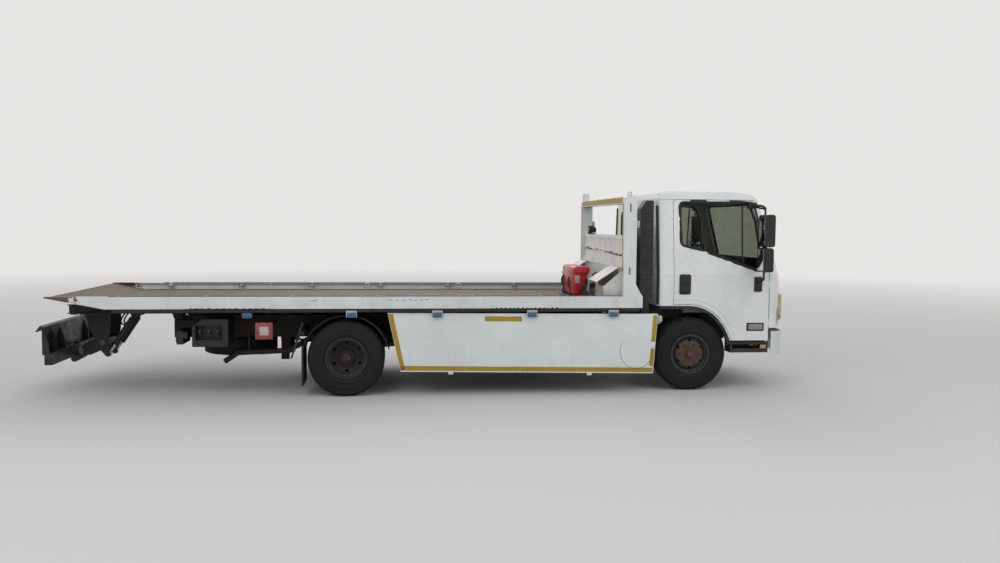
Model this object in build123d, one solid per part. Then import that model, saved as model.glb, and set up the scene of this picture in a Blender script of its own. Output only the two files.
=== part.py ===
from build123d import *
import math
import os

# A light cab-over recovery truck with a sliding, tilting bed and a rear underlift.
# Millimetres. X points forward, Y to the left side, Z up, and the wheels stand on Z = 0.
# The drawing's zero is moved by ORIGIN_X when a node is written, so that the part's origin
# is under the middle of the whole vehicle.
ORIGIN_X = 96

# Wheels and axles
TYRE_RADIUS = 405
TYRE_WIDTH = 205
BEAD_RADIUS = 208
FLANGE_RADIUS = 222
RIM_WIDTH = 176
RIM_WALL = 8
WHEELBASE = 3780
REAR_AXLE_X = -765
FRONT_AXLE_X = REAR_AXLE_X + WHEELBASE
FRONT_WHEEL_Y = 847.5
TWIN_WHEEL_Y = 835
TWIN_SPACING = 245
HUB_RADIUS = 78
SPINDLE_RADIUS = 30
STUD_COUNT = 6
STUD_CIRCLE = 111
HAND_HOLE_COUNT = 6
DISC_THICKNESS = 12
FRONT_DISC_OFFSET = 42
TWIN_DISC_OFFSET = 106

# Steering
KINGPIN_Y = 745
KINGPIN_RADIUS = 20
STEERING_ARM = 150
TIE_ROD_Z = 372
TIE_ROD_RADIUS = 16

# Fits and gaps
PIN_FIT = 0.1
SEAT_GAP = 0.3
MOVE_GAP = 6
FACE_GAP = 0.2

# Chassis
RAIL_OUTER_Y = 380
RAIL_FLANGE = 65
RAIL_WALL = 8
RAIL_TOP = 740
RAIL_HEIGHT = 180
CHASSIS_REAR = -2665
CHASSIS_FRONT = 4016
SUB_FRAME_HEIGHT = 60

# Tilt hinge and tilt frame
HINGE_X = -2635
HINGE_PIN_RADIUS = 25
TILT_BEAM_OUTER_Y = 400
TILT_BEAM_FLANGE = 70
TILT_BEAM_WALL = 8
TILT_BEAM_BOTTOM = 825
TILT_BEAM_HEIGHT = 100
TILT_BEAM_REAR = -3782
TILT_BEAM_FRONT = 2150

# Deck
DECK_HALF = 1140
DECK_TAIL = -3750
DECK_FRONT = 2403
FLOOR_TOP = 985
FLOOR_PLATE = 6
RAIL_CAP_Z = 1068
RAIL_FOOT_Z = 942
TAIL_BREAK_X = -3169
DECK_RAIL_WALL = 8
DECK_RAIL_FLANGE = 55
CROSS_MEMBER_PITCH = 480
DECK_SLIDE = 4000

# Headboard, measured from the floor of the bed upwards
POST_REAR = 2189
POST_DEPTH = 137
POST_WIDTH = 85
POST_TOP = 2150
BEAM_HEIGHT = 70
PANEL_TOP = 1720
PANEL_BREAK = 1500
PANEL_FOOT = 1368

# Cab
CAB_REAR = 2620
CAB_FRONT = 4118
CAB_HALF = 1000
CAB_ROOF_HALF = 905
CAB_WAIST = 1294
CAB_EAVES = 2133
CAB_ROOF = 2215
CAB_WALL = 45
CAB_BULGE = 38
CAB_CORNER = 190
CAB_PIVOT_X = 3985
CAB_PIVOT_Z = 700
CAB_PIN_RADIUS = 20
DOOR_REAR = 2797
DOOR_FRONT = 3886
DOOR_GAP = 6
GLASS_INSET = 12
GLASS_THICKNESS = 5

# Underlift
LIFT_PIVOT_X = -3480
LIFT_PIVOT_Z = 488
LIFT_SLOPE = 24
LIFT_PIN_RADIUS = 22
ARM_SIZE = 150
ARM_WALL = 10
ARM_LENGTH = 235
STINGER_START = 62
STINGER_LENGTH = 275
LIFT_CHEEK_Y = 190
LIFT_RAM_Y = 122
LIFT_RAM_HEAD = (-3150, 790)
LIFT_RAM_FOOT = (LIFT_PIVOT_X + 40, LIFT_PIVOT_Z - 140)
LIFT_RAM_BARREL = 34
LIFT_RAM_ROD = 18
LIFT_RAM_PIN = 14
SWIVEL_X = -3820
SWIVEL_RADIUS = 26
CROSSBAR_HALF = 850
CROSSBAR_WALL = 10
CROSSBAR_Z = (336, 457)
CROSSBAR_DEPTH = 80
TRAY_X = -3880
TRAY_RIDGE = 745
FORK_PIN_RADIUS = 20

# Side furniture
SKIRT_Y = 1100
SKIRT_THICKNESS = 30
LAMP_SIZE = (115, 18, 50)
LAMP_X = (-1764, -704, 189, 1199)


def block(x, y, z):
    """A box between a low and a high value on each axis."""
    size = Box(x[1] - x[0], y[1] - y[0], z[1] - z[0])
    return Pos((x[0] + x[1]) / 2, (y[0] + y[1]) / 2, (z[0] + z[1]) / 2) * size


def outline(points, radius):
    if radius:
        return make_face(FilletPolyline(*points, radius=radius, close=True))
    return make_face(Polyline(*points, close=True))


def side_plate(points, y, radius=0):
    """An outline of (x, z) points, as thick as the range y."""
    face = outline([(px, y[0], pz) for px, pz in points], radius)
    return extrude(face, amount=y[1] - y[0], dir=(0, 1, 0))


def cross_plate(points, x, radius=0):
    """An outline of (y, z) points, as thick as the range x."""
    face = outline([(x[0], py, pz) for py, pz in points], radius)
    return extrude(face, amount=x[1] - x[0], dir=(1, 0, 0))


def level_plate(points, z, radius=0):
    """An outline of (x, y) points, as thick as the range z."""
    face = outline([(px, py, z[0]) for px, py in points], radius)
    return extrude(face, amount=z[1] - z[0], dir=(0, 0, 1))


def rod(start, end, radius):
    """A round bar between two points."""
    path = Vector(*end) - Vector(*start)
    return Plane(origin=start, z_dir=path) * Pos(0, 0, path.length / 2) * Cylinder(radius, path.length)


def tube(start, end, outer, inner):
    """A round tube between two points."""
    return rod(start, end, outer) - rod(start, end, inner)


def across(x, y, z, radius):
    """A round bar that lies across the vehicle, between the two values of y."""
    return rod((x, y[0], z), (x, y[1], z), radius)


def joined(parts):
    """One shape out of several."""
    whole = None
    for part in parts:
        whole = part if whole is None else whole + part
    return whole


def mirrored(part):
    return mirror(part, about=Plane.XZ)


def both_sides(part):
    return [part, mirrored(part)]


def channel(x, web_y, flange, z, wall):
    """A C section along X. The flange reaches from the web towards positive or negative Y."""
    y = sorted((web_y, web_y + flange))
    inner = sorted((web_y + math.copysign(wall, flange), web_y + flange * 2))
    hollow = block((x[0] - 1, x[1] + 1), inner, (z[0] + wall, z[1] - wall))
    return block(x, y, z) - hollow


def write(name, solids):
    """Write one node. Its solids stay apart unless they were joined before."""
    if not isinstance(solids, (list, tuple)):
        solids = [solids]
    bodies = [Pos(-ORIGIN_X, 0, 0) * solid for item in solids for solid in item.solids()]
    export_step(Compound(bodies), f"parts/{name}.step")


# Wheels

def tyre(centre_y):
    """A ring round the rim, drawn in radius and distance from its middle plane."""
    bead = RIM_WIDTH / 2 - 10
    wide = TYRE_WIDTH / 2
    half = [
        (BEAD_RADIUS, bead),
        (FLANGE_RADIUS + 2, bead),
        (FLANGE_RADIUS + 6, wide - 11),
        (FLANGE_RADIUS + 60, wide - 1),
        (TYRE_RADIUS - 75, wide),
        (TYRE_RADIUS - 30, wide - 8),
        (TYRE_RADIUS - 6, wide - 20),
        (TYRE_RADIUS, wide - 34),
    ]
    ring = half + [(r, -h) for r, h in reversed(half)]
    face = make_face(Polyline(*[(r, 0, h) for r, h in ring], close=True))
    return Pos(0, centre_y, 0) * Rot(-90, 0, 0) * revolve(face, Axis.Z)


def rim(centre_y, disc_at, dish):
    """A disc wheel. The disc sits at disc_at from the middle and its hub zone is dish further out."""
    edge = RIM_WIDTH / 2
    seat = BEAD_RADIUS - FACE_GAP
    step = 10 - FACE_GAP
    well = seat - 26
    section = [
        (seat, edge - step), (FLANGE_RADIUS, edge - step), (FLANGE_RADIUS, edge),
        (seat - RIM_WALL, edge), (seat - RIM_WALL, edge - 38), (well - RIM_WALL, edge - 56),
        (well - RIM_WALL, -edge + 56), (seat - RIM_WALL, -edge + 38), (seat - RIM_WALL, -edge),
        (FLANGE_RADIUS, -edge), (FLANGE_RADIUS, -edge + step), (seat, -edge + step),
        (seat, -edge + 36), (well, -edge + 54), (well, edge - 54), (seat, edge - 36),
    ]
    ring = revolve(make_face(Polyline(*[(r, 0, h) for r, h in section], close=True)), Axis.Z)
    foot = disc_at
    crown = disc_at + dish
    rim_side = (seat if abs(foot) > edge - 38 else well) - RIM_WALL / 2
    disc_points = [
        (SPINDLE_RADIUS + 34, crown), (128, crown), (150, crown - dish * 0.25), (rim_side, foot),
        (rim_side, foot - DISC_THICKNESS), (146, crown - dish * 0.25 - DISC_THICKNESS),
        (124, crown - DISC_THICKNESS), (SPINDLE_RADIUS + 34, crown - DISC_THICKNESS),
    ]
    disc = revolve(make_face(Polyline(*[(r, 0, h) for r, h in disc_points], close=True)), Axis.Z)
    holes = joined(PolarLocations(154, HAND_HOLE_COUNT, 30) * Cylinder(17, 4 * abs(crown) + 400))
    solid = ring + (disc - holes)
    return Pos(0, centre_y, 0) * Rot(-90, 0, 0) * solid


def hub(inner_h, outer_h, cap_radius):
    """A hub with wheel studs round it, turned so that its cap points to positive Y."""
    body = Pos(0, 0, (inner_h + outer_h) / 2) * Cylinder(HUB_RADIUS, outer_h - inner_h)
    cap = Pos(0, 0, outer_h + 22) * Cylinder(cap_radius, 44)
    cap = chamfer(cap.edges().sort_by(Axis.Z)[-1], 8)
    return body + cap


def studs(at_h):
    bolts = joined(PolarLocations(STUD_CIRCLE, STUD_COUNT) * Cylinder(13, 30))
    return Pos(0, 0, at_h + 15) * bolts


def front_wheel():
    crown = FRONT_DISC_OFFSET + 30
    middle = hub(-26, crown, 44)
    bore = Pos(0, 0, -30) * Cylinder(SPINDLE_RADIUS + PIN_FIT, 100)
    turned = Rot(-90, 0, 0) * ((middle - bore) + Pos(0, 0, crown - 4) * Cylinder(STUD_CIRCLE + 18,
        8) + studs(crown))
    place = Pos(FRONT_AXLE_X, FRONT_WHEEL_Y, TYRE_RADIUS)
    return place * tyre(0), place * (rim(0, FRONT_DISC_OFFSET, 30) + turned)


def twin_wheels():
    outer = TWIN_WHEEL_Y + TWIN_SPACING / 2
    inner = TWIN_WHEEL_Y - TWIN_SPACING / 2
    place = Pos(REAR_AXLE_X, 0, TYRE_RADIUS)
    dish = -26
    meet = TWIN_SPACING / 2 - DISC_THICKNESS
    outer_rim = rim(outer, -meet + dish * -1 + DISC_THICKNESS, dish)
    inner_rim = mirror(rim(-inner, -meet + dish * -1 + DISC_THICKNESS, dish), about=Plane.XZ)
    crown = TWIN_WHEEL_Y + DISC_THICKNESS
    middle = Pos(0, crown, 0) * Rot(-90, 0, 0) * (hub(-92, 58, 52) + studs(0))
    bore = across(0, (crown - 100, crown + 30), 0, SPINDLE_RADIUS + PIN_FIT)
    plate = across(0, (TWIN_WHEEL_Y - DISC_THICKNESS, TWIN_WHEEL_Y + DISC_THICKNESS), 0, STUD_CIRCLE + 14)
    rims = place * (outer_rim + inner_rim + middle + plate - bore)
    tyres = [place * tyre(outer), place * tyre(inner)]
    return tyres, rims


def make_wheels():
    front_tyre, front_rim = front_wheel()
    rear_tyres, rear_rims = twin_wheels()
    for side, turn in (("left", lambda part: part), ("right", mirrored)):
        write(f"tyre_front_{side}", turn(front_tyre))
        write(f"rim_front_{side}", turn(front_rim))
        write(f"tyres_rear_{side}", [turn(part) for part in rear_tyres])
        write(f"rims_rear_{side}", turn(rear_rims))


# Axles, springs and steering

def front_axle():
    x = (FRONT_AXLE_X - 35, FRONT_AXLE_X + 35)
    z = TYRE_RADIUS
    half = [
        (-KINGPIN_Y, z + 35), (-KINGPIN_Y, z - 35), (-KINGPIN_Y + 90, z - 40), (-480, z - 105),
        (480, z - 105), (KINGPIN_Y - 90, z - 40), (KINGPIN_Y, z - 35), (KINGPIN_Y, z + 35),
        (KINGPIN_Y - 100, z + 35), (480, z - 25), (-480, z - 25), (-KINGPIN_Y + 100, z + 35),
    ]
    beam = cross_plate(half, x)
    for side in (-1, 1):
        boss = Pos(FRONT_AXLE_X, side * KINGPIN_Y, z) * Cylinder(42, 96)
        bore = Pos(FRONT_AXLE_X, side * KINGPIN_Y, z) * Cylinder(KINGPIN_RADIUS + PIN_FIT, 200)
        beam = beam + boss - bore
        seat = block(x, (side * 347 - 42, side * 347 + 42), (z - 40, z + 30))
        beam = beam + seat
    return beam


def knuckle():
    """The left steering knuckle, with its kingpin, spindle and steering arm."""
    z = TYRE_RADIUS
    pin = Pos(FRONT_AXLE_X, KINGPIN_Y, z) * Cylinder(KINGPIN_RADIUS, 190)
    outer_y = KINGPIN_Y + 74
    part = pin
    for side in (-1, 1):
        fork = Pos(FRONT_AXLE_X, KINGPIN_Y, z + side * 72) * Cylinder(38, 36)
        arm = block(
            (FRONT_AXLE_X - 32, FRONT_AXLE_X + 32), (KINGPIN_Y, outer_y),
            (z + side * 72 - 18, z + side * 72 + 18),
        )
        part = part + fork + arm
    back = block((FRONT_AXLE_X - 32, FRONT_AXLE_X + 32), (outer_y - 22, outer_y), (z - 90, z + 90))
    spindle = across(FRONT_AXLE_X, (outer_y - 10, FRONT_WHEEL_Y + 18), z, SPINDLE_RADIUS)
    lever = level_plate(
        [
            (FRONT_AXLE_X + 20, KINGPIN_Y - 20), (FRONT_AXLE_X + 20, KINGPIN_Y + 20),
            (FRONT_AXLE_X - STEERING_ARM - 22, KINGPIN_Y + 22), (FRONT_AXLE_X - STEERING_ARM - 22,
                KINGPIN_Y - 22),
        ],
        (TIE_ROD_Z - 46, TIE_ROD_Z - 22),
    )
    ball = Pos(FRONT_AXLE_X - STEERING_ARM, KINGPIN_Y, TIE_ROD_Z - 12) * Cylinder(12, 68)
    return part + back + spindle + lever + ball


def make_steering():
    left = knuckle()
    write("knuckle_left", left)
    write("knuckle_right", mirrored(left))
    x = FRONT_AXLE_X - STEERING_ARM
    bar = across(x, (-KINGPIN_Y + 22, KINGPIN_Y - 22), TIE_ROD_Z, TIE_ROD_RADIUS)
    for side in (-1, 1):
        eye = Pos(x, side * KINGPIN_Y, TIE_ROD_Z) * (Cylinder(26, 36) - Cylinder(12 + PIN_FIT, 60))
        bar = bar + eye
    write("tie_rod", bar)


def rear_axle():
    z = TYRE_RADIUS
    reach = TWIN_WHEEL_Y + 30
    tube_half = TWIN_WHEEL_Y - 92
    beam = across(REAR_AXLE_X, (-tube_half, tube_half), z, 55)
    spindles = across(REAR_AXLE_X, (-reach, reach), z, SPINDLE_RADIUS)
    bowl = Pos(REAR_AXLE_X, 0, z) * Sphere(165)
    nose = rod((REAR_AXLE_X, 0, z), (REAR_AXLE_X + 290, 0, z + 12), 70)
    axle = beam + spindles + bowl + nose
    for side in (-1, 1):
        y = side * 347
        axle = axle + block((REAR_AXLE_X - 70, REAR_AXLE_X + 70), (y - 40, y + 40), (z + 20, z + 68))
        axle = axle + across(REAR_AXLE_X, (side * 560, side * 590), z, 120)
    return axle


def leaf_pack(centre_x, seat_z, length, leaves, rise, y):
    """Leaves that grow shorter downwards, bent as arcs between the two hangers."""
    thickness = 13
    parts = None
    for index in range(leaves):
        half = length / 2 * (1 - 0.16 * index)
        drop = rise * (half / (length / 2)) ** 2
        low = seat_z + thickness * (leaves - 1 - index)
        high = low + thickness
        under = ThreePointArc((centre_x - half, y - 32, low + drop), (centre_x, y - 32, low),
            (centre_x + half, y - 32, low + drop))
        over = ThreePointArc((centre_x + half, y - 32, high + drop), (centre_x, y - 32, high),
            (centre_x - half, y - 32, high + drop))
        ends = [Line(under @ 1, over @ 0), Line(over @ 1, under @ 0)]
        leaf = extrude(make_face([under, ends[0], over, ends[1]]), amount=64, dir=(0, 1, 0))
        parts = leaf if parts is None else parts + leaf
    return parts


def make_axles():
    rail_foot = RAIL_TOP - RAIL_HEIGHT
    springs = []
    for x, seat, length, leaves, rise in (
        (FRONT_AXLE_X, TYRE_RADIUS + 30, 1150, 3, 60),
        (REAR_AXLE_X, TYRE_RADIUS + 68, 1150, 3, 24),
    ):
        for side in (-1, 1):
            y = side * 347
            pack = leaf_pack(x, seat, length, leaves, rise, y)
            eye_z = seat + 13 * (leaves - 0.5) + rise
            for end in (-1, 1):
                eye_x = x + end * length / 2
                pack = pack + across(eye_x, (y - 32, y + 32), eye_z, 22)
                hanger = block((eye_x - 22, eye_x + 22), (y - 32, y + 32), (eye_z, rail_foot - FACE_GAP))
                pack = pack + hanger
            for end in (-1, 1):
                bolt = block((x + end * 40 - 8, x + end * 40 + 8), (y - 40, y + 40),
                    (seat, seat + 13 * leaves + 12))
                pack = pack + bolt
            springs.append(pack)
    write("axles_and_springs", [front_axle(), rear_axle()] + springs)


# Chassis

def make_chassis():
    z = (RAIL_TOP - RAIL_HEIGHT, RAIL_TOP)
    rail = channel((CHASSIS_REAR, CHASSIS_FRONT), RAIL_OUTER_Y, -RAIL_FLANGE, z, RAIL_WALL)
    inner = RAIL_OUTER_Y - RAIL_WALL
    solids = []
    for x in (-2560, -1900, -1180, -260, 700, 1650, 3560):
        member = block((x - 35, x + 35), (-inner, inner), (z[0] + 65, z[1] - 20))
        hollow = block((x - 27, x + 40), (-inner - 1, inner + 1), (z[0] + 73, z[1] - 28))
        solids.append(member - hollow)
    solids.append(block((CHASSIS_FRONT - 60, CHASSIS_FRONT), (-inner, inner), (z[0] + 20, z[1] - 20)))
    # Fixed sub frame on top of the rails, with the hinge cheeks at its rear end
    top = RAIL_TOP + SUB_FRAME_HEIGHT
    sub_y = (RAIL_OUTER_Y - 58, RAIL_OUTER_Y - 8)
    bar = block((HINGE_X + 170, TILT_BEAM_FRONT + 50), sub_y, (RAIL_TOP, top))
    cheek_y = (RAIL_OUTER_Y - 80, RAIL_OUTER_Y - 62)
    cheek = side_plate(
        [(HINGE_X - 42, top - 60), (HINGE_X + 170, top - 60), (HINGE_X + 170, top - 20),
            (HINGE_X + 42, top + 14), (HINGE_X - 42, top + 14)],
        cheek_y,
    )
    foot = block((HINGE_X - 30, HINGE_X + 170), (cheek_y[0], RAIL_OUTER_Y), (RAIL_TOP, RAIL_TOP + 10))
    pad_z = (top, TILT_BEAM_BOTTOM - SEAT_GAP)
    for x in (-1900, -900, 100, 1100, 1960):
        bar = bar + block((x - 60, x + 60), sub_y, pad_z)
    solids += [bar, mirrored(bar)]
    hinge = cheek + foot
    hinge_pin = across(HINGE_X, (-TILT_BEAM_OUTER_Y + 10, TILT_BEAM_OUTER_Y - 10), top, HINGE_PIN_RADIUS)
    solids.append(hinge + mirrored(hinge) + hinge_pin)
    # Rubber-mounted hoop that carries the back of the cab
    hoop_x = (CAB_REAR + 10, CAB_REAR + 60)
    leg = block(hoop_x, (300, 360), (RAIL_TOP, 905))
    hoop = leg + mirrored(leg) + block(hoop_x, (-620, 620), (880, 940 - SEAT_GAP))
    solids.append(hoop)
    # Cab pivot pins on the front ends of the rails
    rail = rail + across(CAB_PIVOT_X, (RAIL_OUTER_Y - 40, RAIL_OUTER_Y + 48), CAB_PIVOT_Z, CAB_PIN_RADIUS)
    # Trunnions of the tilt cylinders, under the rails
    y = TILT_RAM_Y
    lug_x = (TILT_RAM_FOOT_X - 45, TILT_RAM_FOOT_X + 45)
    lug = block(lug_x, (y + 54, y + 72), (TILT_RAM_FOOT_Z - 35, z[0] + 4))
    lug = lug + block(lug_x, (y + 54, y + 125), (z[0] - 14, z[0] + 4))
    rail = rail + lug + across(TILT_RAM_FOOT_X, (y - 30, y + 70), TILT_RAM_FOOT_Z, TILT_RAM_PIN)
    write("chassis_frame", [rail, mirrored(rail), *solids])


TILT_RAM_Y = 225
TILT_RAM_FOOT_X = -1480
TILT_RAM_FOOT_Z = 330
TILT_RAM_HEAD_X = -1500
TILT_RAM_HEAD_Z = 800
TILT_RAM_BARREL = 48
TILT_RAM_ROD = 26
TILT_RAM_PIN = 16


def make_tilt_rams():
    foot = Vector(TILT_RAM_FOOT_X, 0, TILT_RAM_FOOT_Z)
    head = Vector(TILT_RAM_HEAD_X, 0, TILT_RAM_HEAD_Z)
    way = (head - foot).normalized()
    length = (head - foot).length
    barrels = []
    rods = []
    for side in (-1, 1):
        y = side * TILT_RAM_Y
        shift = Vector(0, y, 0)
        base = foot + shift
        low = base + way * 34
        high = base + way * (length - 70)
        body = rod(tuple(base + way * 20), tuple(high), TILT_RAM_BARREL)
        bore = rod(tuple(low + way * 14), tuple(high + way * 10), TILT_RAM_ROD + PIN_FIT)
        eye = across(base.X, (y - 28, y + 28), base.Z, 34)
        hole = across(base.X, (y - 60, y + 60), base.Z, TILT_RAM_PIN + PIN_FIT)
        barrels.append(body + eye - bore - hole)
        top = head + shift
        piston = rod(tuple(low + way * 20), tuple(top - way * 24), TILT_RAM_ROD)
        knob = across(top.X, (y - 26, y + 26), top.Z, 32) - across(top.X, (y - 60, y + 60), top.Z,
            TILT_RAM_PIN + MOVE_GAP)
        rods.append(piston + knob)
    write("tilt_ram_barrels", barrels)
    write("tilt_ram_rods", rods)


def make_engine():
    # The front axle beam and the tie rod pass in front of the sump
    engine = block((2350, 3130), (-290, 290), (490, 880)) + block((2400, 2740), (-180, 180), (360, 495))
    gearbox = side_plate([(1760, 520), (2000, 470), (2350 - FACE_GAP, 450), (2350 - FACE_GAP, 720),
        (2000, 680), (1760, 640)], (-150, 150))
    shaft_rear = REAR_AXLE_X + 296
    shaft = rod((shaft_rear, 0, TYRE_RADIUS + 14), (1760 - FACE_GAP, 0, 570), 42)
    mount_half = RAIL_OUTER_Y - RAIL_WALL - FACE_GAP
    mount = block((3060, 3110), (-mount_half, mount_half), (575, 620))
    mount_rear = block((2420, 2480), (-mount_half, mount_half), (575, 620))
    write("engine_and_driveline", [engine + mount + mount_rear, gearbox, shaft])


def make_tanks():
    web = RAIL_OUTER_Y + FACE_GAP
    tank = block((900, 1880), (web + 22, 900), (330, 700))
    tank = fillet(tank.edges().filter_by(Axis.X), 60)
    for x in (1050, 1720):
        tank = tank + block((x - 30, x + 30), (web, 500), (560, 700))
    filler = Pos(1600, 800, 715) * Cylinder(40, 40)
    battery = block((1250, 1850), (-880, -web - 22), (425, 720))
    battery = battery + block((1300, 1800), (-web - 40, -web), (560, 700))
    air = rod((1990, -560, 560), (2300, -560, 560), 105) + block((2120, 2180), (-560, -web), (600, 660))
    write("side_tanks", [tank + filler, battery, air])


def make_exhaust():
    """A silencer beside the rail and a tail pipe over the axle to the rear."""
    y = -460
    silencer = rod((150, -600, 395), (900, -600, 395), 100)
    route = [
        (2330, -330, 480), (2100, -560, 385), (900, -600, 385), (150, -600, 395), (-150, y - 60,
            470), (-450, y - 10, 640),
        (-1030, y - 10, 650), (-1420, y - 10, 420), (-1724, y - 10, 405), (-1962, y - 10, 405), (-2114,
            y - 10, 300),
    ]
    path = FilletPolyline(*route, radius=60)
    start = Plane(origin=path @ 0, z_dir=path % 0)
    pipe = sweep(start * Circle(30), path=path)
    hanger = block((-1860, -1840), (y - 15, -RAIL_OUTER_Y - FACE_GAP), (425, 600))
    strap = block((500, 540), (-600, -RAIL_OUTER_Y - FACE_GAP), (480, 600))
    write("exhaust", silencer + pipe + hanger + strap)


def make_spare():
    """The spare wheel lies flat under the rear of the chassis, held by a cross strap."""
    x = -2010
    low = 348
    ring = Pos(x, 0, low + TYRE_WIDTH / 2) * Rot(90, 0, 0) * tyre(0)
    disc = Pos(x, 0, low + TYRE_WIDTH / 2) * Rot(90, 0, 0) * rim(0, FRONT_DISC_OFFSET, 30)
    rail_foot = RAIL_TOP - RAIL_HEIGHT
    strap = block((x - 40, x + 40), (-RAIL_OUTER_Y, RAIL_OUTER_Y),
        (low + TYRE_WIDTH + SEAT_GAP, rail_foot - FACE_GAP))
    bolt = Pos(x, 0, low + 120) * Cylinder(14, 180)
    plate = Pos(x, 0, low + 28) * Cylinder(90, 10)
    write("spare_wheel", [ring, disc, strap + bolt + plate])


def make_mudguards():
    centre_z = TYRE_RADIUS
    inner_r = 455
    guards = []
    y = (600, 1085)
    ring = across(REAR_AXLE_X, y, centre_z, inner_r + 5) - across(REAR_AXLE_X, y, centre_z, inner_r)
    keep = block((REAR_AXLE_X - 600, REAR_AXLE_X + 600), y, (centre_z + 90, centre_z + 600))
    guard = ring & keep
    stay = block((REAR_AXLE_X - 20, REAR_AXLE_X + 20), (RAIL_OUTER_Y + FACE_GAP, 602), (700, 730))
    stay = stay + block((REAR_AXLE_X - 20, REAR_AXLE_X + 20), (590, 604), (700, centre_z + inner_r + 3))
    rear_x = REAR_AXLE_X - inner_r - 2
    flap = block((rear_x - 4, rear_x + 12), (640, 1060), (118, centre_z + 140))
    strut = side_plate([(rear_x + 18, 790), (rear_x - 2, 790), (rear_x - 120, 411), (rear_x - 100, 411)],
        (1030, 1050))
    arm = block((rear_x - 36, rear_x + 24), (RAIL_OUTER_Y + FACE_GAP, 1040), (660, 690))
    one = guard + stay + flap + arm + strut
    guards = both_sides(one)
    write("mudguards", guards)


def make_skirts():
    y = (SKIRT_Y - SKIRT_THICKNESS, SKIRT_Y)
    edge = [(-332, 893), (2588, 872), (2545, 222), (-196, 269)]
    panel = side_plate(edge, y)
    for x in (20, 1940, 2360):
        panel = panel + block((x - 25, x + 25), (RAIL_OUTER_Y + FACE_GAP, y[1] - 5), (680, 730))
        panel = panel + block((x - 25, x + 25), (y[0] - 30, y[1] - 5), (330, 730))
    write("side_skirts", both_sides(panel))


def make_control_box():
    box = side_plate(
        [(-2345, 534), (-1981, 534), (-1981, 821), (-2240, 821), (-2345, 744)], (-1000, -640), 12,
    )
    recess = block((-2310, -2040), (-1001, -900), (600, 760))
    box = box - recess
    for index in range(3):
        x = -2270 + 90 * index
        box = box + block((x - 25, x + 25), (-905, -885), (620, 730))
        box = box + rod((x, -900, 650), (x, -985, 700), 8)
    arm = block((-2200, -2140), (-645, -RAIL_OUTER_Y - FACE_GAP), (600, 660))
    # Blank square board on a stay ahead of the box
    board = block((-1695, -1517), (-1062, -1050), (617, 793))
    stay = block((-1620, -1592), (-1052, -RAIL_OUTER_Y - FACE_GAP), (700, 724))
    write("control_box", [box + arm, board + stay])


def make_light_bar():
    bar_x = (-2455, -2395)
    parts = []
    for side in (-1, 1):
        y = sorted((side * (RAIL_OUTER_Y + FACE_GAP), side * 1000))
        bar = block(bar_x, y, (624, 687))
        lamp_y = sorted((side * 640, side * 990))
        lamp = block((-2500, -2440), lamp_y, (560, 700))
        parts.append(bar + lamp)
    write("rear_light_bar", parts)


BUMPER_REAR = 3919
BUMPER_Z = (401, 665)
BUMPER_WALL = 6
TOW_PIN_RADIUS = 13


def bumper_form(inset):
    face = cab_section(BUMPER_Z[0], CAB_HALF + 5, CAB_FRONT + 17, BUMPER_REAR - 60, 190, 14, inset)
    return extrude(face, amount=BUMPER_Z[1] - BUMPER_Z[0], dir=(0, 0, 1))


def make_bumper():
    """A bowed bumper with wrapped ends, as a thin shell on two brackets."""
    z_foot = RAIL_TOP - RAIL_HEIGHT - FACE_GAP
    shell = bumper_form(0) - bumper_form(BUMPER_WALL)
    shell = shell - block((3000, BUMPER_REAR), (-1100, 1100), (300, 800))
    shell = shell - block((CAB_FRONT - 100, CAB_FRONT + 60), (-420, 420), (455, 560))
    for side in (-1, 1):
        y = sorted((side * 300, side * 372))
        shell = shell + block((CHASSIS_FRONT - 60, CAB_FRONT + 8), y, (500, z_foot))
    eye = block((CHASSIS_FRONT - 60, CAB_FRONT + 13), (-372, 372), (565 - 60, 565 - 35))
    hole = Pos(CHASSIS_FRONT + 59, 100, 520) * Cylinder(TOW_PIN_RADIUS, 120)
    write("front_bumper", shell + (eye - hole))


def make_snorkel():
    """Ribbed air intake duct between the headboard and the cab."""
    x = (2415, 2560)
    y = (-965, -815)
    duct = side_plate([(x[0], 1000), (x[1], 1000), (x[1], 2105), (x[0] + 60, 2105), (x[0], 2010)], y, 10)
    for z in (1290, 1550, 1720, 1880):
        duct = duct + block((x[0] - 5, x[1] + 5), (y[0] - 5, y[1] + 5), (z - 6, z + 6))
    foot = block((2440, 2530), (-960, -RAIL_OUTER_Y - FACE_GAP), (690, 735))
    riser = block((2440, 2530), (-940, -840), (730, 1005))
    write("intake_snorkel", duct + foot + riser)


# Cab

def cab_section(z, half, front, rear, corner, rear_corner, inset):
    """One level of the cab: square at the back, rounded at the front corners."""
    half = half - inset
    nose = front - inset
    back = rear + inset
    shoulder = nose - CAB_BULGE
    bend = corner - inset * 0.6
    cut = bend * (1 - math.sqrt(0.5))
    small = max(rear_corner - inset * 0.6, 12)
    nick = small * (1 - math.sqrt(0.5))
    lines = []
    for side in (1, -1):
        arc_rear = ThreePointArc((back, side * (half - small), z),
            (back + nick, side * (half - nick), z), (back + small, side * half, z))
        flank = Line((back + small, side * half, z), (shoulder - bend, side * half, z))
        arc_front = ThreePointArc((shoulder - bend, side * half, z),
            (shoulder - cut, side * (half - cut), z), (shoulder, side * (half - bend), z))
        lines += [arc_rear, flank, arc_front]
    lines.append(ThreePointArc((shoulder, half - bend, z), (nose, 0, z), (shoulder, -(half - bend), z)))
    lines.append(Line((back, half - small, z), (back, -(half - small), z)))
    return make_face(lines)


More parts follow.
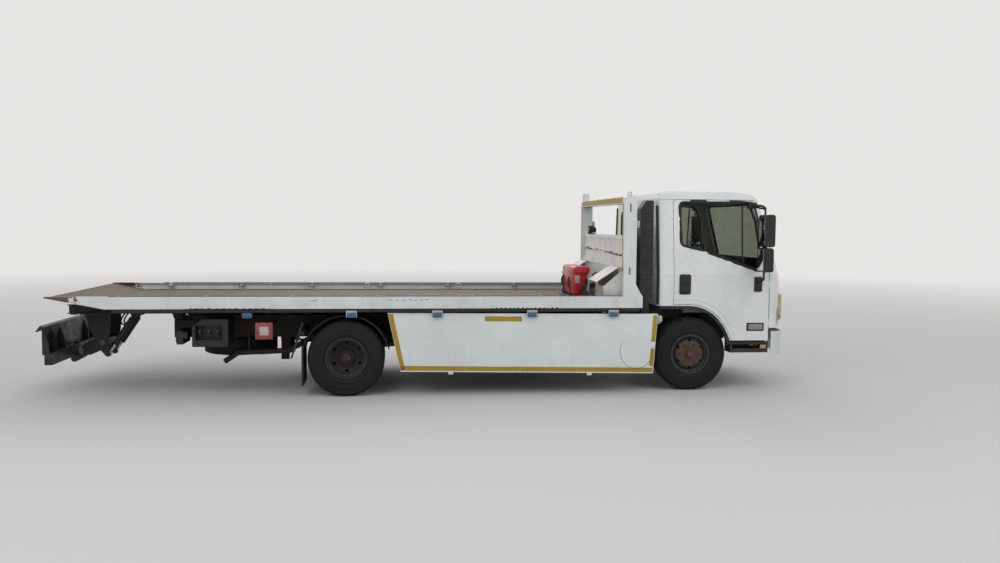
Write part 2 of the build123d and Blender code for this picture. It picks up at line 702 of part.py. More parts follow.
# Levels of the cab: height, half width, front, rear, front corner, rear corner
CAB_LEVELS = (
    (550, CAB_HALF, CAB_FRONT - 24, CAB_REAR, CAB_CORNER, 60),
    (1055, CAB_HALF, CAB_FRONT, CAB_REAR, CAB_CORNER, 60),
    (CAB_WAIST, CAB_HALF, CAB_FRONT - 28, CAB_REAR, CAB_CORNER, 60),
    (CAB_EAVES, CAB_ROOF_HALF, CAB_FRONT - 266, CAB_REAR, CAB_CORNER - 20, 60),
    (CAB_ROOF - 28, CAB_ROOF_HALF - 35, CAB_FRONT - 320, CAB_REAR + 18, CAB_CORNER - 40, 60),
    (CAB_ROOF, CAB_ROOF_HALF - 110, CAB_FRONT - 470, CAB_REAR + 90, CAB_CORNER - 70, 60),
)


def cab_form(inset):
    """The cab's outer form, or the same form drawn in by inset."""
    faces = []
    for z, half, front, rear, corner, rear_corner in CAB_LEVELS:
        level = z
        if z == CAB_ROOF:
            level = z - inset
        if z == CAB_ROOF - 28:
            level = z - inset * 0.8
        if z == 550 and inset:
            level = z - 20
        faces.append(cab_section(level, half, front, rear, corner, rear_corner, inset))
    return loft(faces, ruled=True)


# The wheel arch under the cab, from its rear end to the foot behind the step
ARCH_LINE = [(2960, 950), (3060, 942), (3150, 915), (3235, 868), (3310, 800), (3370, 722), (3415, 640),
    (3447, 562)]
CAB_KEEL = [(2500, 950), *ARCH_LINE, (3890, 562), (3890, CAB_PIVOT_Z), (4300, CAB_PIVOT_Z), (4300, 400),
    (2500, 400)]
DOOR_LINE = [
    (DOOR_REAR, 968), (2965, 968), (3065, 960), (3158, 932), (3246, 883), (3323, 812), (3385,
        732), (3432, 650),
    (3466, 566), (3466, 560), (DOOR_FRONT, 560), (DOOR_FRONT, 1290), (3800, 1811), (3722, 2085), (3690,
        2120),
    (2835, 2120), (2815, 2112), (2802, 2098), (DOOR_REAR, 2078),
]
WINDOW_LINE = [
    (2881, 1612), (2868, 2088), (3630, 2088), (3700, 2015), (3748, 1850), (3775, 1600), (3785,
        1328), (3070, 1581),
]


def side_cutter(points, y, grow=0):
    """A cutter from an (x, z) outline, grown all round, between two values of y."""
    face = make_face(Polyline(*[(px, pz, 0) for px, pz in points], close=True))
    if grow:
        face = offset(face, amount=grow, kind=Kind.INTERSECTION)
    solid = extrude(face, amount=y[1] - y[0], dir=(0, 0, 1))
    return Pos(0, y[1], 0) * Rot(90, 0, 0) * solid


DOOR_HINGE = (3885.5, 993.5)
DOOR_HINGE_Z = (760, 1180)
HINGE_ROD = 5


def hinge_post(z, radius):
    """A round post on the left door's hinge line."""
    return rod((*DOOR_HINGE, z[0]), (*DOOR_HINGE, z[1]), radius)


def cab_panels(walls, rear_edge):
    """The cab's walls as the panels they are welded from: back, pillars, cant rails and screen frame."""
    seam, side, eaves = DOOR_REAR - DOOR_GAP, 700, 2060
    front = (seam, CAB_FRONT + 200)
    zones = [block(front, (-side, side), (400, CAB_ROOF))]
    for z in ((400, eaves), (eaves, CAB_ROOF)):
        zone = block(front, (side, CAB_HALF + 100), z)
        zones += [zone, mirrored(zone)]
    back = walls & block((CAB_REAR - 100, seam), (-CAB_HALF - 100, CAB_HALF + 100), (400, CAB_ROOF))
    return [back + rear_edge] + [walls & zone for zone in zones]


def make_cab():
    outer = cab_form(0)
    walls = outer - cab_form(CAB_WALL)
    keel = side_cutter(CAB_KEEL, (-1200, 1200))
    walls = walls - keel
    waist_front = block((3895, 4300), (-1100, 1100), (CAB_PIVOT_Z - 10, CAB_WAIST))
    front_panel = walls & waist_front
    walls = walls - block((3895 - 8, 4300), (-1100, 1100), (CAB_PIVOT_Z - 10, CAB_WAIST + SEAT_GAP))
    roof_zone = block((2500, 4300), (-1100, 1100), (CAB_EAVES + 8, CAB_ROOF + 20))
    roof = walls & roof_zone
    walls = walls - block((2500, 4300), (-1100, 1100), (CAB_EAVES + 8 - FACE_GAP, CAB_ROOF + 20))
    screen = [(-880, CAB_WAIST + 42), (880, CAB_WAIST + 42), (800, 2088), (-800, 2088)]
    screen_cut = cross_plate(screen, (3500, 4300), 60)
    rear_pane = [(-640, 1500), (640, 1500), (640, 1990), (-640, 1990)]
    rear_cut = cross_plate(rear_pane, (2500, 2750), 60)
    walls = walls - screen_cut - rear_cut
    glass_shell = cab_form(GLASS_INSET) - cab_form(GLASS_INSET + GLASS_THICKNESS)
    windscreen = glass_shell & cross_plate(screen, (3500, 4300), 60)
    rear_glass = glass_shell & cross_plate(rear_pane, (2500, 2750), 60)
    write("cab_glass", [windscreen, rear_glass])
    # Doors, cut from the same walls, with a gap all round
    door_band = (600, 1200)
    gap_cut = side_cutter(DOOR_LINE, door_band, DOOR_GAP)
    door_zone = side_cutter(DOOR_LINE, door_band)
    window = side_cutter(WINDOW_LINE, door_band)
    door = (walls & door_zone) - window
    for z in DOOR_HINGE_Z:
        door = door + hinge_post((z - 25, z + 25), 9)
        door = door - hinge_post((z - 48, z + 48), HINGE_ROD + PIN_FIT)
        for end in ((z - 46, z - 25), (z + 25, z + 46)):
            door = door - hinge_post(end, 10)
    pane = glass_shell & side_cutter(WINDOW_LINE, door_band)
    write("door_left", door)
    write("door_right", mirrored(door))
    write("door_glass_left", pane)
    write("door_glass_right", mirrored(pane))
    walls = walls - gap_cut - mirrored(gap_cut)
    # Floor in three steps over the front wheels and the engine
    floor_line = [
        (CAB_REAR + CAB_WALL - 5, 955), (2990, 955), (3300, 848), (3455, 786), (4010, 786), (4010, 812),
        (3462, 812), (3308, 876), (2996, 985), (CAB_REAR + CAB_WALL - 5, 985),
    ]
    inside = cab_form(CAB_WALL + MOVE_GAP)
    floor_half = CAB_HALF - CAB_WALL - MOVE_GAP
    edge_x = CAB_REAR + CAB_WALL + 20
    floor = side_plate(floor_line, (-CAB_HALF, CAB_HALF)) - block((2500, edge_x), (-1100, 1100),
        (900, 1000))
    under = 786
    sill = block((3470, 3880), (floor_half - 130, floor_half), (562, 590))
    sill = (sill + block((3470, 3880), (floor_half - 130, floor_half - 118), (562, under))) & inside
    x = CAB_PIVOT_X
    lug_line = [(x - 41, under), (x - 34, 685), (x, 662), (x + 34, 685), (x + 30, under)]
    lug = side_plate(lug_line, (RAIL_OUTER_Y + 12, RAIL_OUTER_Y + 34))
    lug = lug - across(x, (300, 500), CAB_PIVOT_Z, CAB_PIN_RADIUS + PIN_FIT)
    edge = block((CAB_REAR + 5, edge_x), (-floor_half, floor_half), (951, 985))
    base = [floor & inside, sill, mirrored(sill), lug, mirrored(lug)]
    base += [block((2880, 3280), y, (985, 1290 - FACE_GAP)) for y in ((270, 730), (-730, 110))]
    write("cab_shell", cab_panels(walls, edge) + base)
    # Ribs pressed in the rear part of the roof
    for index in range(7):
        y = -540 + 180 * index
        roof = roof + block((CAB_REAR + 200, CAB_REAR + 760), (y - 22, y + 22),
            (CAB_ROOF - 8, CAB_ROOF + 7))
    write("roof_panel", roof)
    grille_zone = cross_plate([(-560, 985), (560, 985), (600, 1180), (-600, 1180)], (3900, 4300), 20)
    lamp_right = cross_plate([(690, 725), (955, 725), (965, 930), (700, 930)], (3700, 4300), 25)
    lamps = (front_panel & lamp_right)
    lamp_cut = cross_plate([(689.7, 724.7), (955.3, 724.7), (965.3, 930.3), (699.7, 930.3)],
        (3700, 4300), 25)
    front_panel = front_panel - lamp_cut - mirrored(lamp_cut) - grille_zone
    for z in DOOR_HINGE_Z:
        bracket = hinge_post((z - 45, z + 45), HINGE_ROD)
        for end in ((z - 45, z - 26), (z + 26, z + 45)):
            ear = block((DOOR_HINGE[0] + 4, DOOR_HINGE[0] + 19), (DOOR_HINGE[1] - 18, DOOR_HINGE[1] + 3),
                end)
            bracket = bracket + hinge_post(end, 8) + (ear - hinge_post(end, 7))
        front_panel = front_panel + bracket + mirrored(bracket)
    write("front_panel", front_panel)
    proud = (cab_form(-4) - cab_form(16)) & lamp_right
    proud = proud & block((3896, 4300), (600, 1100), (CAB_PIVOT_Z, CAB_WAIST))
    write("headlamps", both_sides(proud))
    frame = (cab_form(8) - cab_form(26)) & cross_plate([(-559.7, 985.3), (559.7, 985.3), (599.7, 1179.7),
        (-599.7, 1179.7)], (3900, 4300), 20)
    opening = cross_plate([(-530, 1010), (530, 1010), (565, 1155), (-565, 1155)], (3900, 4300), 12)
    bars = frame - opening
    for z in (1030, 1062, 1094, 1126):
        bars = bars + (frame & block((3900, 4300), (-580, 580), (z - 8, z + 8)))
    write("grille", bars)


def make_cab_inside():
    """Seats, dashboard and steering wheel, with the driver on the left."""
    seats = []
    for y in ((240, 760), (-760, 140)):
        cushion = block((2860, 3330), y, (1290, 1430))
        cushion = fillet(cushion.edges(), 30)
        back = side_plate([(2790, 1380), (2910, 1400), (2850, 2000), (2740, 1985)],
            (y[0] + 10, y[1] - 10), 28)
        seats.append(cushion + back)
    write("seats", seats)
    dash = side_plate([(3560, 1230), (3600, 1310), (3960, 1290), (3975, 1000), (3780, 985),
        (3640, 1010)], (-950, 950), 20)
    dash = dash & cab_form(CAB_WALL + MOVE_GAP)
    column = rod((3700, 500, 1120), (3430, 500, 1330), 26)
    way = Vector(-270, 0, 210).normalized()
    hub_at = Vector(3430, 500, 1330)
    wheel = Plane(origin=tuple(hub_at),
        z_dir=tuple(way)) * (Torus(205, 14) + Cylinder(40, 30) + Box(400, 26, 12) + Pos(0, -100,
        0) * Box(26, 200, 12))
    leg = block((3900, 3975), (-60, 60), (812 + FACE_GAP, 1010))
    write("dashboard", [dash + column + wheel + leg])


def make_cab_trim():
    """Steps and the black lips of the wheel arches."""
    half = CAB_HALF
    step = block((3452, 3888), (half - 175, half - 4), (426, 545))
    step = step - block((3475, 3865), (half - 160, half + 1), (470, 520))
    hanger_z = (540, 562 - FACE_GAP)
    hanger = block((3480, 3520), (half - 170, half - 130), hanger_z) + block((3830, 3870),
        (half - 170, half - 130), hanger_z)
    lip_y = (half - 46, half + 4)
    lip = side_plate(
        [(2940, 941), (2958, 941), (3058, 933), (3146, 907), (3229, 861), (3303, 794), (3362, 717),
            (3407, 636), (3441, 556),
         (3441, 520), (3418, 520), (3388, 626), (3344, 704), (3287, 778), (3215, 843), (3137,
             887), (3053, 911), (2940, 918)],
        lip_y,
    )
    lip_rear = block((2640, 2945), lip_y, (918, 941))
    one = step + hanger
    arch = lip + lip_rear + block((3405, 3475), (half - 46, half - 20), (510, 545))
    part = one + arch
    write("cab_trim", both_sides(part))


def mirror_set():
    """The left door's mirror arm and its two heads."""
    y = (CAB_HALF + 112, CAB_HALF + 300)
    head = block((3700, 3812), y, (1608, 1958))
    head = fillet(head.edges().filter_by(Axis.Y), 30)
    low = block((3690, 3800), y, (1336, 1598))
    low = fillet(low.edges().filter_by(Axis.Y), 30)
    mid_y = CAB_HALF + 150
    post = rod((3756, mid_y, 1250), (3756, mid_y, 2030), 11)
    foot = rod((3756, mid_y, 1262), (3756, CAB_HALF + 6, 1212), 10)
    foot = foot + block((3725, 3787), (CAB_HALF + SEAT_GAP, CAB_HALF + 13), (1185, 1240))
    top = rod((3756, mid_y, 2018), (3700, 904, 2055), 10) - cab_form(-SEAT_GAP)
    return head + low + post + foot + top


def make_mirrors():
    left = mirror_set()
    write("mirror_left", left)
    write("mirror_right", mirrored(left))


# Tilt frame and underlift

def lift_point(along, above):
    """A point on the sloping line of the lift arm, in X and Z."""
    slope = math.radians(LIFT_SLOPE)
    x = LIFT_PIVOT_X - along * math.cos(slope) - above * math.sin(slope)
    z = LIFT_PIVOT_Z - along * math.sin(slope) + above * math.cos(slope)
    return x, z


def lift_box(along, above, y):
    """A box laid along the arm, between two distances from the pivot and two heights."""
    corners = [
        lift_point(along[0], above[0]), lift_point(along[1], above[0]),
        lift_point(along[1], above[1]), lift_point(along[0], above[1]),
    ]
    return side_plate(corners, y)


def make_tilt_frame():
    z = (TILT_BEAM_BOTTOM, TILT_BEAM_BOTTOM + TILT_BEAM_HEIGHT)
    x = (TILT_BEAM_REAR, TILT_BEAM_FRONT)
    web = TILT_BEAM_OUTER_Y - TILT_BEAM_FLANGE
    beam = channel(x, web, TILT_BEAM_FLANGE, z, TILT_BEAM_WALL)
    members = [
        block((place - 30, place + 30), (-web, web), (z[0] - 17, z[0] + 7))
        for place in (-3740, -3040, -2400, -1660, -1250, -700, -100, 500, 1300, 1800, 2110)
    ]
    # Hinge lugs round the pin on the fixed sub frame
    pin_z = RAIL_TOP + SUB_FRAME_HEIGHT
    lug = side_plate([(HINGE_X - 60, z[0] + 4), (HINGE_X - 40, pin_z - 36), (HINGE_X + 40, pin_z - 36),
        (HINGE_X + 60, z[0] + 4)], (web + 2, web + 26))
    lug = lug - across(HINGE_X, (0, 500), pin_z, HINGE_PIN_RADIUS + PIN_FIT)
    beam = beam + lug
    # Cross tube and pins over the tilt rods, inside the beams
    x, top = TILT_RAM_HEAD_X, TILT_RAM_HEAD_Z
    y = TILT_RAM_Y
    line = [(x - 60, z[0] + 2), (x - 26, top - 30), (x + 26, top - 30), (x + 60, z[0] + 2)]
    beam = beam + side_plate(line, (y + 36, y + 52)) + across(x, (y - 30, y + 50), top, TILT_RAM_PIN)
    beam = beam + block((x - 60, x + 60), (y + 36, web + 4), (z[0], z[0] + 10))
    # The slide cylinder lies along the middle, over the cross members
    barrel_z = z[0] + 53
    barrel = tube((-1700, 0, barrel_z), (2120, 0, barrel_z), 40, 26 + PIN_FIT)
    for place in (-1660, 1800, 2110):
        barrel = barrel + block((place - 20, place + 20), (-30, 30), (z[0] + 7, barrel_z - 30))
    # Underlift carrier: side cheeks, cross tube and ram lugs
    px, pz = LIFT_PIVOT_X, LIFT_PIVOT_Z
    cheek_y = (LIFT_CHEEK_Y, LIFT_CHEEK_Y + 18)
    cheek = side_plate(
        [(-3675, z[0] + 4), (-3393, z[0] + 4), (-3400, 620), (px + 55, pz - 20), (px + 20, pz - 55),
            (px - 40, pz - 50), (-3600, 600)],
        cheek_y,
    )
    spread = block((-3675, -3393), (LIFT_CHEEK_Y - 2, web), (z[0] - 14, z[0] + 4))
    pin = across(px, (-cheek_y[1] - 4, cheek_y[1] + 4), pz, LIFT_PIN_RADIUS)
    carrier = cheek + spread + mirrored(cheek + spread) + pin
    carrier = carrier + block((-3640, -3600), (-LIFT_CHEEK_Y - 2, LIFT_CHEEK_Y + 2), (700, 780))
    ram_x, ram_z = LIFT_RAM_HEAD
    line = [(ram_x - 50, z[0] + 2), (ram_x - 24, ram_z - 28), (ram_x + 24, ram_z - 28),
        (ram_x + 50, z[0] + 2)]
    ears = [side_plate(line, (LIFT_RAM_Y + side * 30 - 6, LIFT_RAM_Y + side * 30 + 6)) for side in (-1, 1)]
    ram_pin = across(ram_x, (LIFT_RAM_Y - 38, LIFT_RAM_Y + 38), ram_z, LIFT_RAM_PIN)
    head = joined(ears) + ram_pin
    head = head + mirrored(head) + block((ram_x - 50, ram_x + 50), (-web, web), (z[0], z[0] + 12))
    write("tilt_frame", [beam, mirrored(beam), *members, barrel, carrier, head])


def make_lift_arm():
    """The arm on its pivot, with a lever plate each side of each ram's eye."""
    half = ARM_SIZE / 2
    inner = half - ARM_WALL
    px, pz = LIFT_PIVOT_X, LIFT_PIVOT_Z
    sleeve = lift_box((30, ARM_LENGTH), (-half, half), (-half, half))
    sleeve = sleeve - lift_box((56, ARM_LENGTH + 10), (-inner, inner), (-inner, inner))
    end = across(px, (-LIFT_CHEEK_Y + 4, LIFT_CHEEK_Y - 4), pz, 50) + lift_box((0, 50),
        (-half + 15, half - 15), (-half, half))
    rx, rz = LIFT_RAM_FOOT
    line = [(px - 70, pz - 30), (px + 38, pz - 30), (rx + 28, rz - 8), (rx + 10, rz - 28),
        (rx - 18, rz - 26), (px - 64, pz - 66)]
    arm = sleeve + end
    for side in (-1, 1):
        for offset in (-32, 32):
            y = side * (LIFT_RAM_Y + offset)
            arm = arm + side_plate(line, (y - 8, y + 8))
        pin = across(rx, sorted((side * (LIFT_RAM_Y - 42), side * (LIFT_RAM_Y + 42))), rz, LIFT_RAM_PIN)
        arm = arm + pin
    for side in (-1, 1):
        pad = sorted((side * (inner - MOVE_GAP + SEAT_GAP), side * (inner + 1)))
        arm = arm + lift_box((ARM_LENGTH - 45, ARM_LENGTH - 8), pad, (-40, 40))
    arm = arm - across(px, (-300, 300), pz, LIFT_PIN_RADIUS + PIN_FIT)
    write("lift_arm", arm)


def make_stinger():
    """The sliding tube, with a tongue under the crossbar that carries the swivel post."""
    inner = ARM_SIZE / 2 - ARM_WALL
    slim = inner - MOVE_GAP
    stinger = lift_box((STINGER_START, STINGER_LENGTH), (-slim, slim), (-slim, slim))
    stinger = stinger - lift_box((STINGER_START - 5, STINGER_LENGTH - 60), (-slim + 9, slim - 9),
        (-slim + 9, slim - 9))
    top = CROSSBAR_Z[0] - SEAT_GAP
    tongue = side_plate(
        [(-3695, 335), (-3733, 300), (-3822, 251), (-3862, 258), (-3872, 300), (-3872, top - 8),
            (-3752, top - 8), (-3738, 372), (-3700, 400)],
        (-slim, slim),
    )
    post = rod((SWIVEL_X, 0, 290), (SWIVEL_X, 0, CROSSBAR_Z[1] + 24), SWIVEL_RADIUS)
    washer = rod((SWIVEL_X, 0, top - 12), (SWIVEL_X, 0, top), SWIVEL_RADIUS + 18)
    write("stinger", stinger + tongue + post + washer)


def make_crossbar():
    """A swivelling box beam with its wheel tray folded up behind it."""
    half = CROSSBAR_DEPTH / 2
    low, high = CROSSBAR_Z
    end = CROSSBAR_HALF
    beam = block((SWIVEL_X - half, SWIVEL_X + half), (-end, end), CROSSBAR_Z)
    hollow = block(
        (SWIVEL_X - half + CROSSBAR_WALL, SWIVEL_X + half - CROSSBAR_WALL), (-end - 1, end + 1),
        (low + CROSSBAR_WALL, high - CROSSBAR_WALL),
    )
    beam = (beam - hollow) + rod((SWIVEL_X, 0, low), (SWIVEL_X, 0, high), SWIVEL_RADIUS + 10)
    beam = beam - rod((SWIVEL_X, 0, low - 10), (SWIVEL_X, 0, high + 60), SWIVEL_RADIUS + PIN_FIT)
    tray = side_plate(
        [
            (TRAY_X, 442), (TRAY_X + 14, 442), (TRAY_X + 14, TRAY_RIDGE - 14), (TRAY_X - 19, TRAY_RIDGE),
            (TRAY_X - 63, 686), (TRAY_X - 55, 680), (TRAY_X - 16, TRAY_RIDGE - 18), (TRAY_X,
                TRAY_RIDGE - 24),
        ],
        (-end, end),
    )
    web = block((TRAY_X + 5, SWIVEL_X - half + 5), (-end, end), (442, high))
    for y in (end - 12, end - 240, end - 480):
        line = [(TRAY_X + 10, high - 2), (SWIVEL_X + 10, high - 2), (SWIVEL_X, high + 120),
            (TRAY_X + 10, TRAY_RIDGE - 40)]
        rib = side_plate(line, (y, y + 10))
        tray = tray + rib + mirrored(rib)
    for side in (-1, 1):
        beam = beam - rod((SWIVEL_X, side * (end - 110), 300), (SWIVEL_X, side * (end - 110), 600),
            FORK_PIN_RADIUS)
    write("crossbar", beam + tray + web)


def make_lift_rams():
    """Twin rams that lift the arm, one each side of it."""
    head = Vector(LIFT_RAM_HEAD[0], LIFT_RAM_Y, LIFT_RAM_HEAD[1])
    foot = Vector(LIFT_RAM_FOOT[0], LIFT_RAM_Y, LIFT_RAM_FOOT[1])
    way = (foot - head).normalized()
    length = (foot - head).length
    y = LIFT_RAM_Y
    neck = rod(tuple(head + way * 20), tuple(head + way * 66), 17)
    body = rod(tuple(head + way * 62), tuple(head + way * (length - 130)), LIFT_RAM_BARREL) + neck
    eye = across(head.X, (y - 20, y + 20), head.Z, 28)
    bore = rod(tuple(head + way * 80), tuple(head + way * (length - 120)), LIFT_RAM_ROD + PIN_FIT)
    barrel = body + eye - across(head.X, (y - 40, y + 40), head.Z, LIFT_RAM_PIN + PIN_FIT) - bore
    piston = rod(tuple(head + way * 125), tuple(foot - way * 22), LIFT_RAM_ROD)
    knob = across(foot.X, (y - 18, y + 18), foot.Z, 32) - across(foot.X, (y - 40, y + 40), foot.Z,
        LIFT_RAM_PIN + 5)
    write("lift_ram_barrels", both_sides(barrel))
    write("lift_ram_rods", both_sides(piston + knob))


# Deck

def make_deck():
    plate_z = (FLOOR_TOP - FLOOR_PLATE, FLOOR_TOP)
    edge = DECK_HALF - DECK_RAIL_WALL - FACE_GAP
    slope = (RAIL_CAP_Z - 12 - RAIL_FOOT_Z) / (DECK_TAIL - TAIL_BREAK_X)
    break_x = TAIL_BREAK_X + (plate_z[0] - RAIL_FOOT_Z) / slope
    tail_low = RAIL_FOOT_Z + slope * (DECK_TAIL + 10 - TAIL_BREAK_X)
    floor = side_plate(
        [
            (DECK_FRONT, plate_z[0]), (DECK_FRONT, plate_z[1]), (break_x, plate_z[1]),
            (DECK_TAIL + 10, tail_low + FLOOR_PLATE), (DECK_TAIL + 10, tail_low), (break_x, plate_z[0]),
        ],
        (-edge, edge),
    )
    write("deck_floor", floor)
    # Side rails with lashing rings standing inside them
    profile = [
        (DECK_FRONT, RAIL_FOOT_Z), (DECK_FRONT, RAIL_CAP_Z), (DECK_TAIL, RAIL_CAP_Z),
        (DECK_TAIL, RAIL_CAP_Z - 12), (TAIL_BREAK_X, RAIL_FOOT_Z),
    ]
    rail = side_plate(profile, (DECK_HALF - DECK_RAIL_FLANGE, DECK_HALF))
    hollow_profile = [
        (DECK_FRONT + 1, RAIL_FOOT_Z + 8), (DECK_FRONT + 1, RAIL_CAP_Z - 8), (DECK_TAIL + 60,
            RAIL_CAP_Z - 8),
        (TAIL_BREAK_X - 4, RAIL_FOOT_Z + 8),
    ]
    rail = rail - side_plate(hollow_profile, (DECK_HALF - DECK_RAIL_FLANGE - 1, DECK_HALF - DECK_RAIL_WALL))
    slot = side_plate(
        [(DECK_FRONT + 1, plate_z[0] - FACE_GAP), (DECK_FRONT + 1, plate_z[1] + FACE_GAP),
            (break_x, plate_z[1] + FACE_GAP),
         (DECK_TAIL - 1, tail_low + FLOOR_PLATE + 3), (DECK_TAIL - 1, tail_low - 3), (break_x,
             plate_z[0] - FACE_GAP)],
        (DECK_HALF - DECK_RAIL_FLANGE - 1, DECK_HALF - DECK_RAIL_WALL),
    )
    rail = rail - slot
    for x in (-3045, -1815, -605, 565):
        ring_y = DECK_HALF - DECK_RAIL_FLANGE - 4
        ring = Pos(x, ring_y, RAIL_CAP_Z - 26) * Rot(90, 0, 0) * Torus(26, 6)
        lug = block((x - 14, x + 14), (ring_y - 6, DECK_HALF - 20), (RAIL_CAP_Z - 14, RAIL_CAP_Z - 2))
        rail = rail + ring + lug
    write("side_rails", both_sides(rail))
    # Cross members, runners that hook under the tilt beams, and the lamp bars
    member_z = (TILT_BEAM_BOTTOM + TILT_BEAM_HEIGHT + MOVE_GAP, plate_z[0] - FACE_GAP)
    half = DECK_HALF - DECK_RAIL_FLANGE - FACE_GAP
    places = [DECK_FRONT - 120 - index * CROSS_MEMBER_PITCH for index in range(12)]
    members = []
    lamp_bar = block((-3100, DECK_FRONT - 25), (1100, 1128), (905, RAIL_FOOT_Z - FACE_GAP))
    for x in places:
        member = block((x - 30, x + 30), (-half, half), member_z)
        members.append(member - block((x - 25, x + 31), (-half - 1, half + 1),
            (member_z[0] + 5, member_z[1] - 5)))
        lamp_bar = lamp_bar + block((x - 20, x + 20), (half - 40, 1110), (member_z[0] - 20, member_z[0]))
    run_x = (TAIL_BREAK_X + 60, TILT_BEAM_FRONT)
    web_y = TILT_BEAM_OUTER_Y + MOVE_GAP
    hook_z = TILT_BEAM_BOTTOM + 33
    runner = block(run_x, (web_y, web_y + 8), (hook_z, member_z[0]))
    runner = runner + block(run_x, (TILT_BEAM_OUTER_Y - 50, web_y + 8), (hook_z, hook_z + 8))
    strip_z = (TILT_BEAM_BOTTOM + TILT_BEAM_HEIGHT + SEAT_GAP, member_z[0])
    strip = block(run_x, (TILT_BEAM_OUTER_Y - 60, TILT_BEAM_OUTER_Y - 10), strip_z)
    sides = [solid for one in (runner, strip, lamp_bar) for solid in (one, mirrored(one))]
    tail = block((TAIL_BREAK_X - 60, TAIL_BREAK_X + 62), (-half, half), (member_z[0] + 15, member_z[1]))
    # The slide cylinder's rod, with the bracket that joins it to a cross member
    barrel_z = TILT_BEAM_BOTTOM + 53
    slide_rod = rod((-1840, 0, barrel_z), (2000, 0, barrel_z), 26)
    slide_rod = slide_rod + block((-1860, -1820), (-24, 24), (barrel_z - 24, member_z[1]))
    slide_rod = slide_rod + block((places[9] + 30, -1800), (-24, 24), member_z)
    write("deck_frame", members + sides + [tail, slide_rod])
    lamps = []
    for x in LAMP_X:
        lamp = block((x - LAMP_SIZE[0] / 2, x + LAMP_SIZE[0] / 2),
            (1128 + FACE_GAP, 1128 + LAMP_SIZE[1]), (868, 868 + LAMP_SIZE[2]))
        lamp = fillet(lamp.edges().filter_by(Axis.Y), 10)
        lamps += both_sides(lamp)
    write("side_lamps", lamps)


def make_headboard():
    x = (POST_REAR, POST_REAR + POST_DEPTH)
    y = (DECK_HALF - POST_WIDTH, DECK_HALF)
    foot = RAIL_CAP_Z
    post = side_plate(
        [(x[0], foot), (x[0], POST_TOP - 20), (x[0] + 20, POST_TOP), (x[1] - 20, POST_TOP),
            (x[1], POST_TOP - 20),
         (x[1], 1200), (DECK_FRONT - 30, foot + 40), (DECK_FRONT, foot)],
        y,
    )
    frame = post + mirrored(post)
    beam_z = (POST_TOP - 12 - BEAM_HEIGHT, POST_TOP - 12)
    frame = frame + block(x, (-y[0] - 1, y[0] + 1), beam_z)
    sill_x = (x[0] + 30, x[1] - 20)
    frame = frame + block(sill_x, (-y[0] - 1, y[0] + 1), (PANEL_TOP - 40, PANEL_TOP))
    panel = side_plate(
        [(2232, PANEL_TOP), (2232, PANEL_BREAK), (2206, PANEL_FOOT), (2212, PANEL_FOOT),
            (2238, PANEL_BREAK), (2238, PANEL_TOP)],
        (-y[0] - 1, y[0] + 1),
    )
    frame = frame + panel
    for side in (-1, 1):
        wall = block((2201, 2210), (-y[0] - 1, y[0] + 1), (FLOOR_TOP + FACE_GAP, PANEL_FOOT + 6))
        frame = frame + wall
    # Small lamp on the far post and work lamp on the sill
    lamp = block((x[0] + 10, x[0] + 80), (y[0] - 60, y[0] + 20), (POST_TOP - 13, POST_TOP + 90))
    bowl = Pos(x[0] + 40, 600, PANEL_TOP + 45) * Cylinder(42, 70) + Pos(x[0] + 60, 600,
        PANEL_TOP + 5) * Cylinder(16, 30)
    frame = frame + lamp + bowl
    write("headboard", frame)


LID_HINGE_X = 2172
LID_HINGE_Z = 1374
LOCKER_REAR = 1990
LOCKER_Y = (640, 1050)


def make_lockers():
    """Two open-topped lockers at the foot of the headboard. Their lids stand ajar."""
    y = LOCKER_Y
    front = 2201 - FACE_GAP
    side_line = [(LOCKER_REAR, FLOOR_TOP + FACE_GAP), (LOCKER_REAR, 1170), (front, 1352),
        (front, FLOOR_TOP + FACE_GAP)]
    outer = side_plate(side_line, y)
    inner = side_plate([(LOCKER_REAR + 5, FLOOR_TOP - 10), (LOCKER_REAR + 5, 1400), (front - 5, 1400),
        (front - 5, FLOOR_TOP - 10)], (y[0] + 5, y[1] - 5))
    box = outer - inner
    hinge = across(LID_HINGE_X, (y[0] + 30, y[1] - 30), LID_HINGE_Z, 7)
    for side_y in (y[0] + 60, y[1] - 60):
        ear = block((LID_HINGE_X - 6, front), (side_y - 8, side_y + 8), (1318, LID_HINGE_Z))
        box = box + ear
    box = box + hinge
    write("lockers", both_sides(box))
    rise = 33.2
    lid = block((-302, -16), (y[0] - 18, y[1] + 1), (9, 14)) + block((-302, -297), (y[0] - 18, y[1] + 1),
        (-16, 12))
    eye = None
    for side_y in (y[0] + 100, (y[0] + y[1]) / 2, y[1] - 100):
        knuckle_eye = across(0, (side_y - 20, side_y + 20), 0, 14) - across(0,
            (side_y - 30, side_y + 30), 0, 7 + PIN_FIT)
        tab = block((-60, -9), (side_y - 20, side_y + 20), (3, 12))
        eye = (knuckle_eye + tab) if eye is None else eye + knuckle_eye + tab
    lid = lid + eye
    lid = Pos(LID_HINGE_X, 0, LID_HINGE_Z) * Rot(0, -rise, 0) * lid
    write("locker_lid_left", lid)
    write("locker_lid_right", mirrored(lid))


WINCH_X = 1900
WINCH_Z = 1152
WINCH_Y = (-115, 335)
DRUM_FLANGE = 125


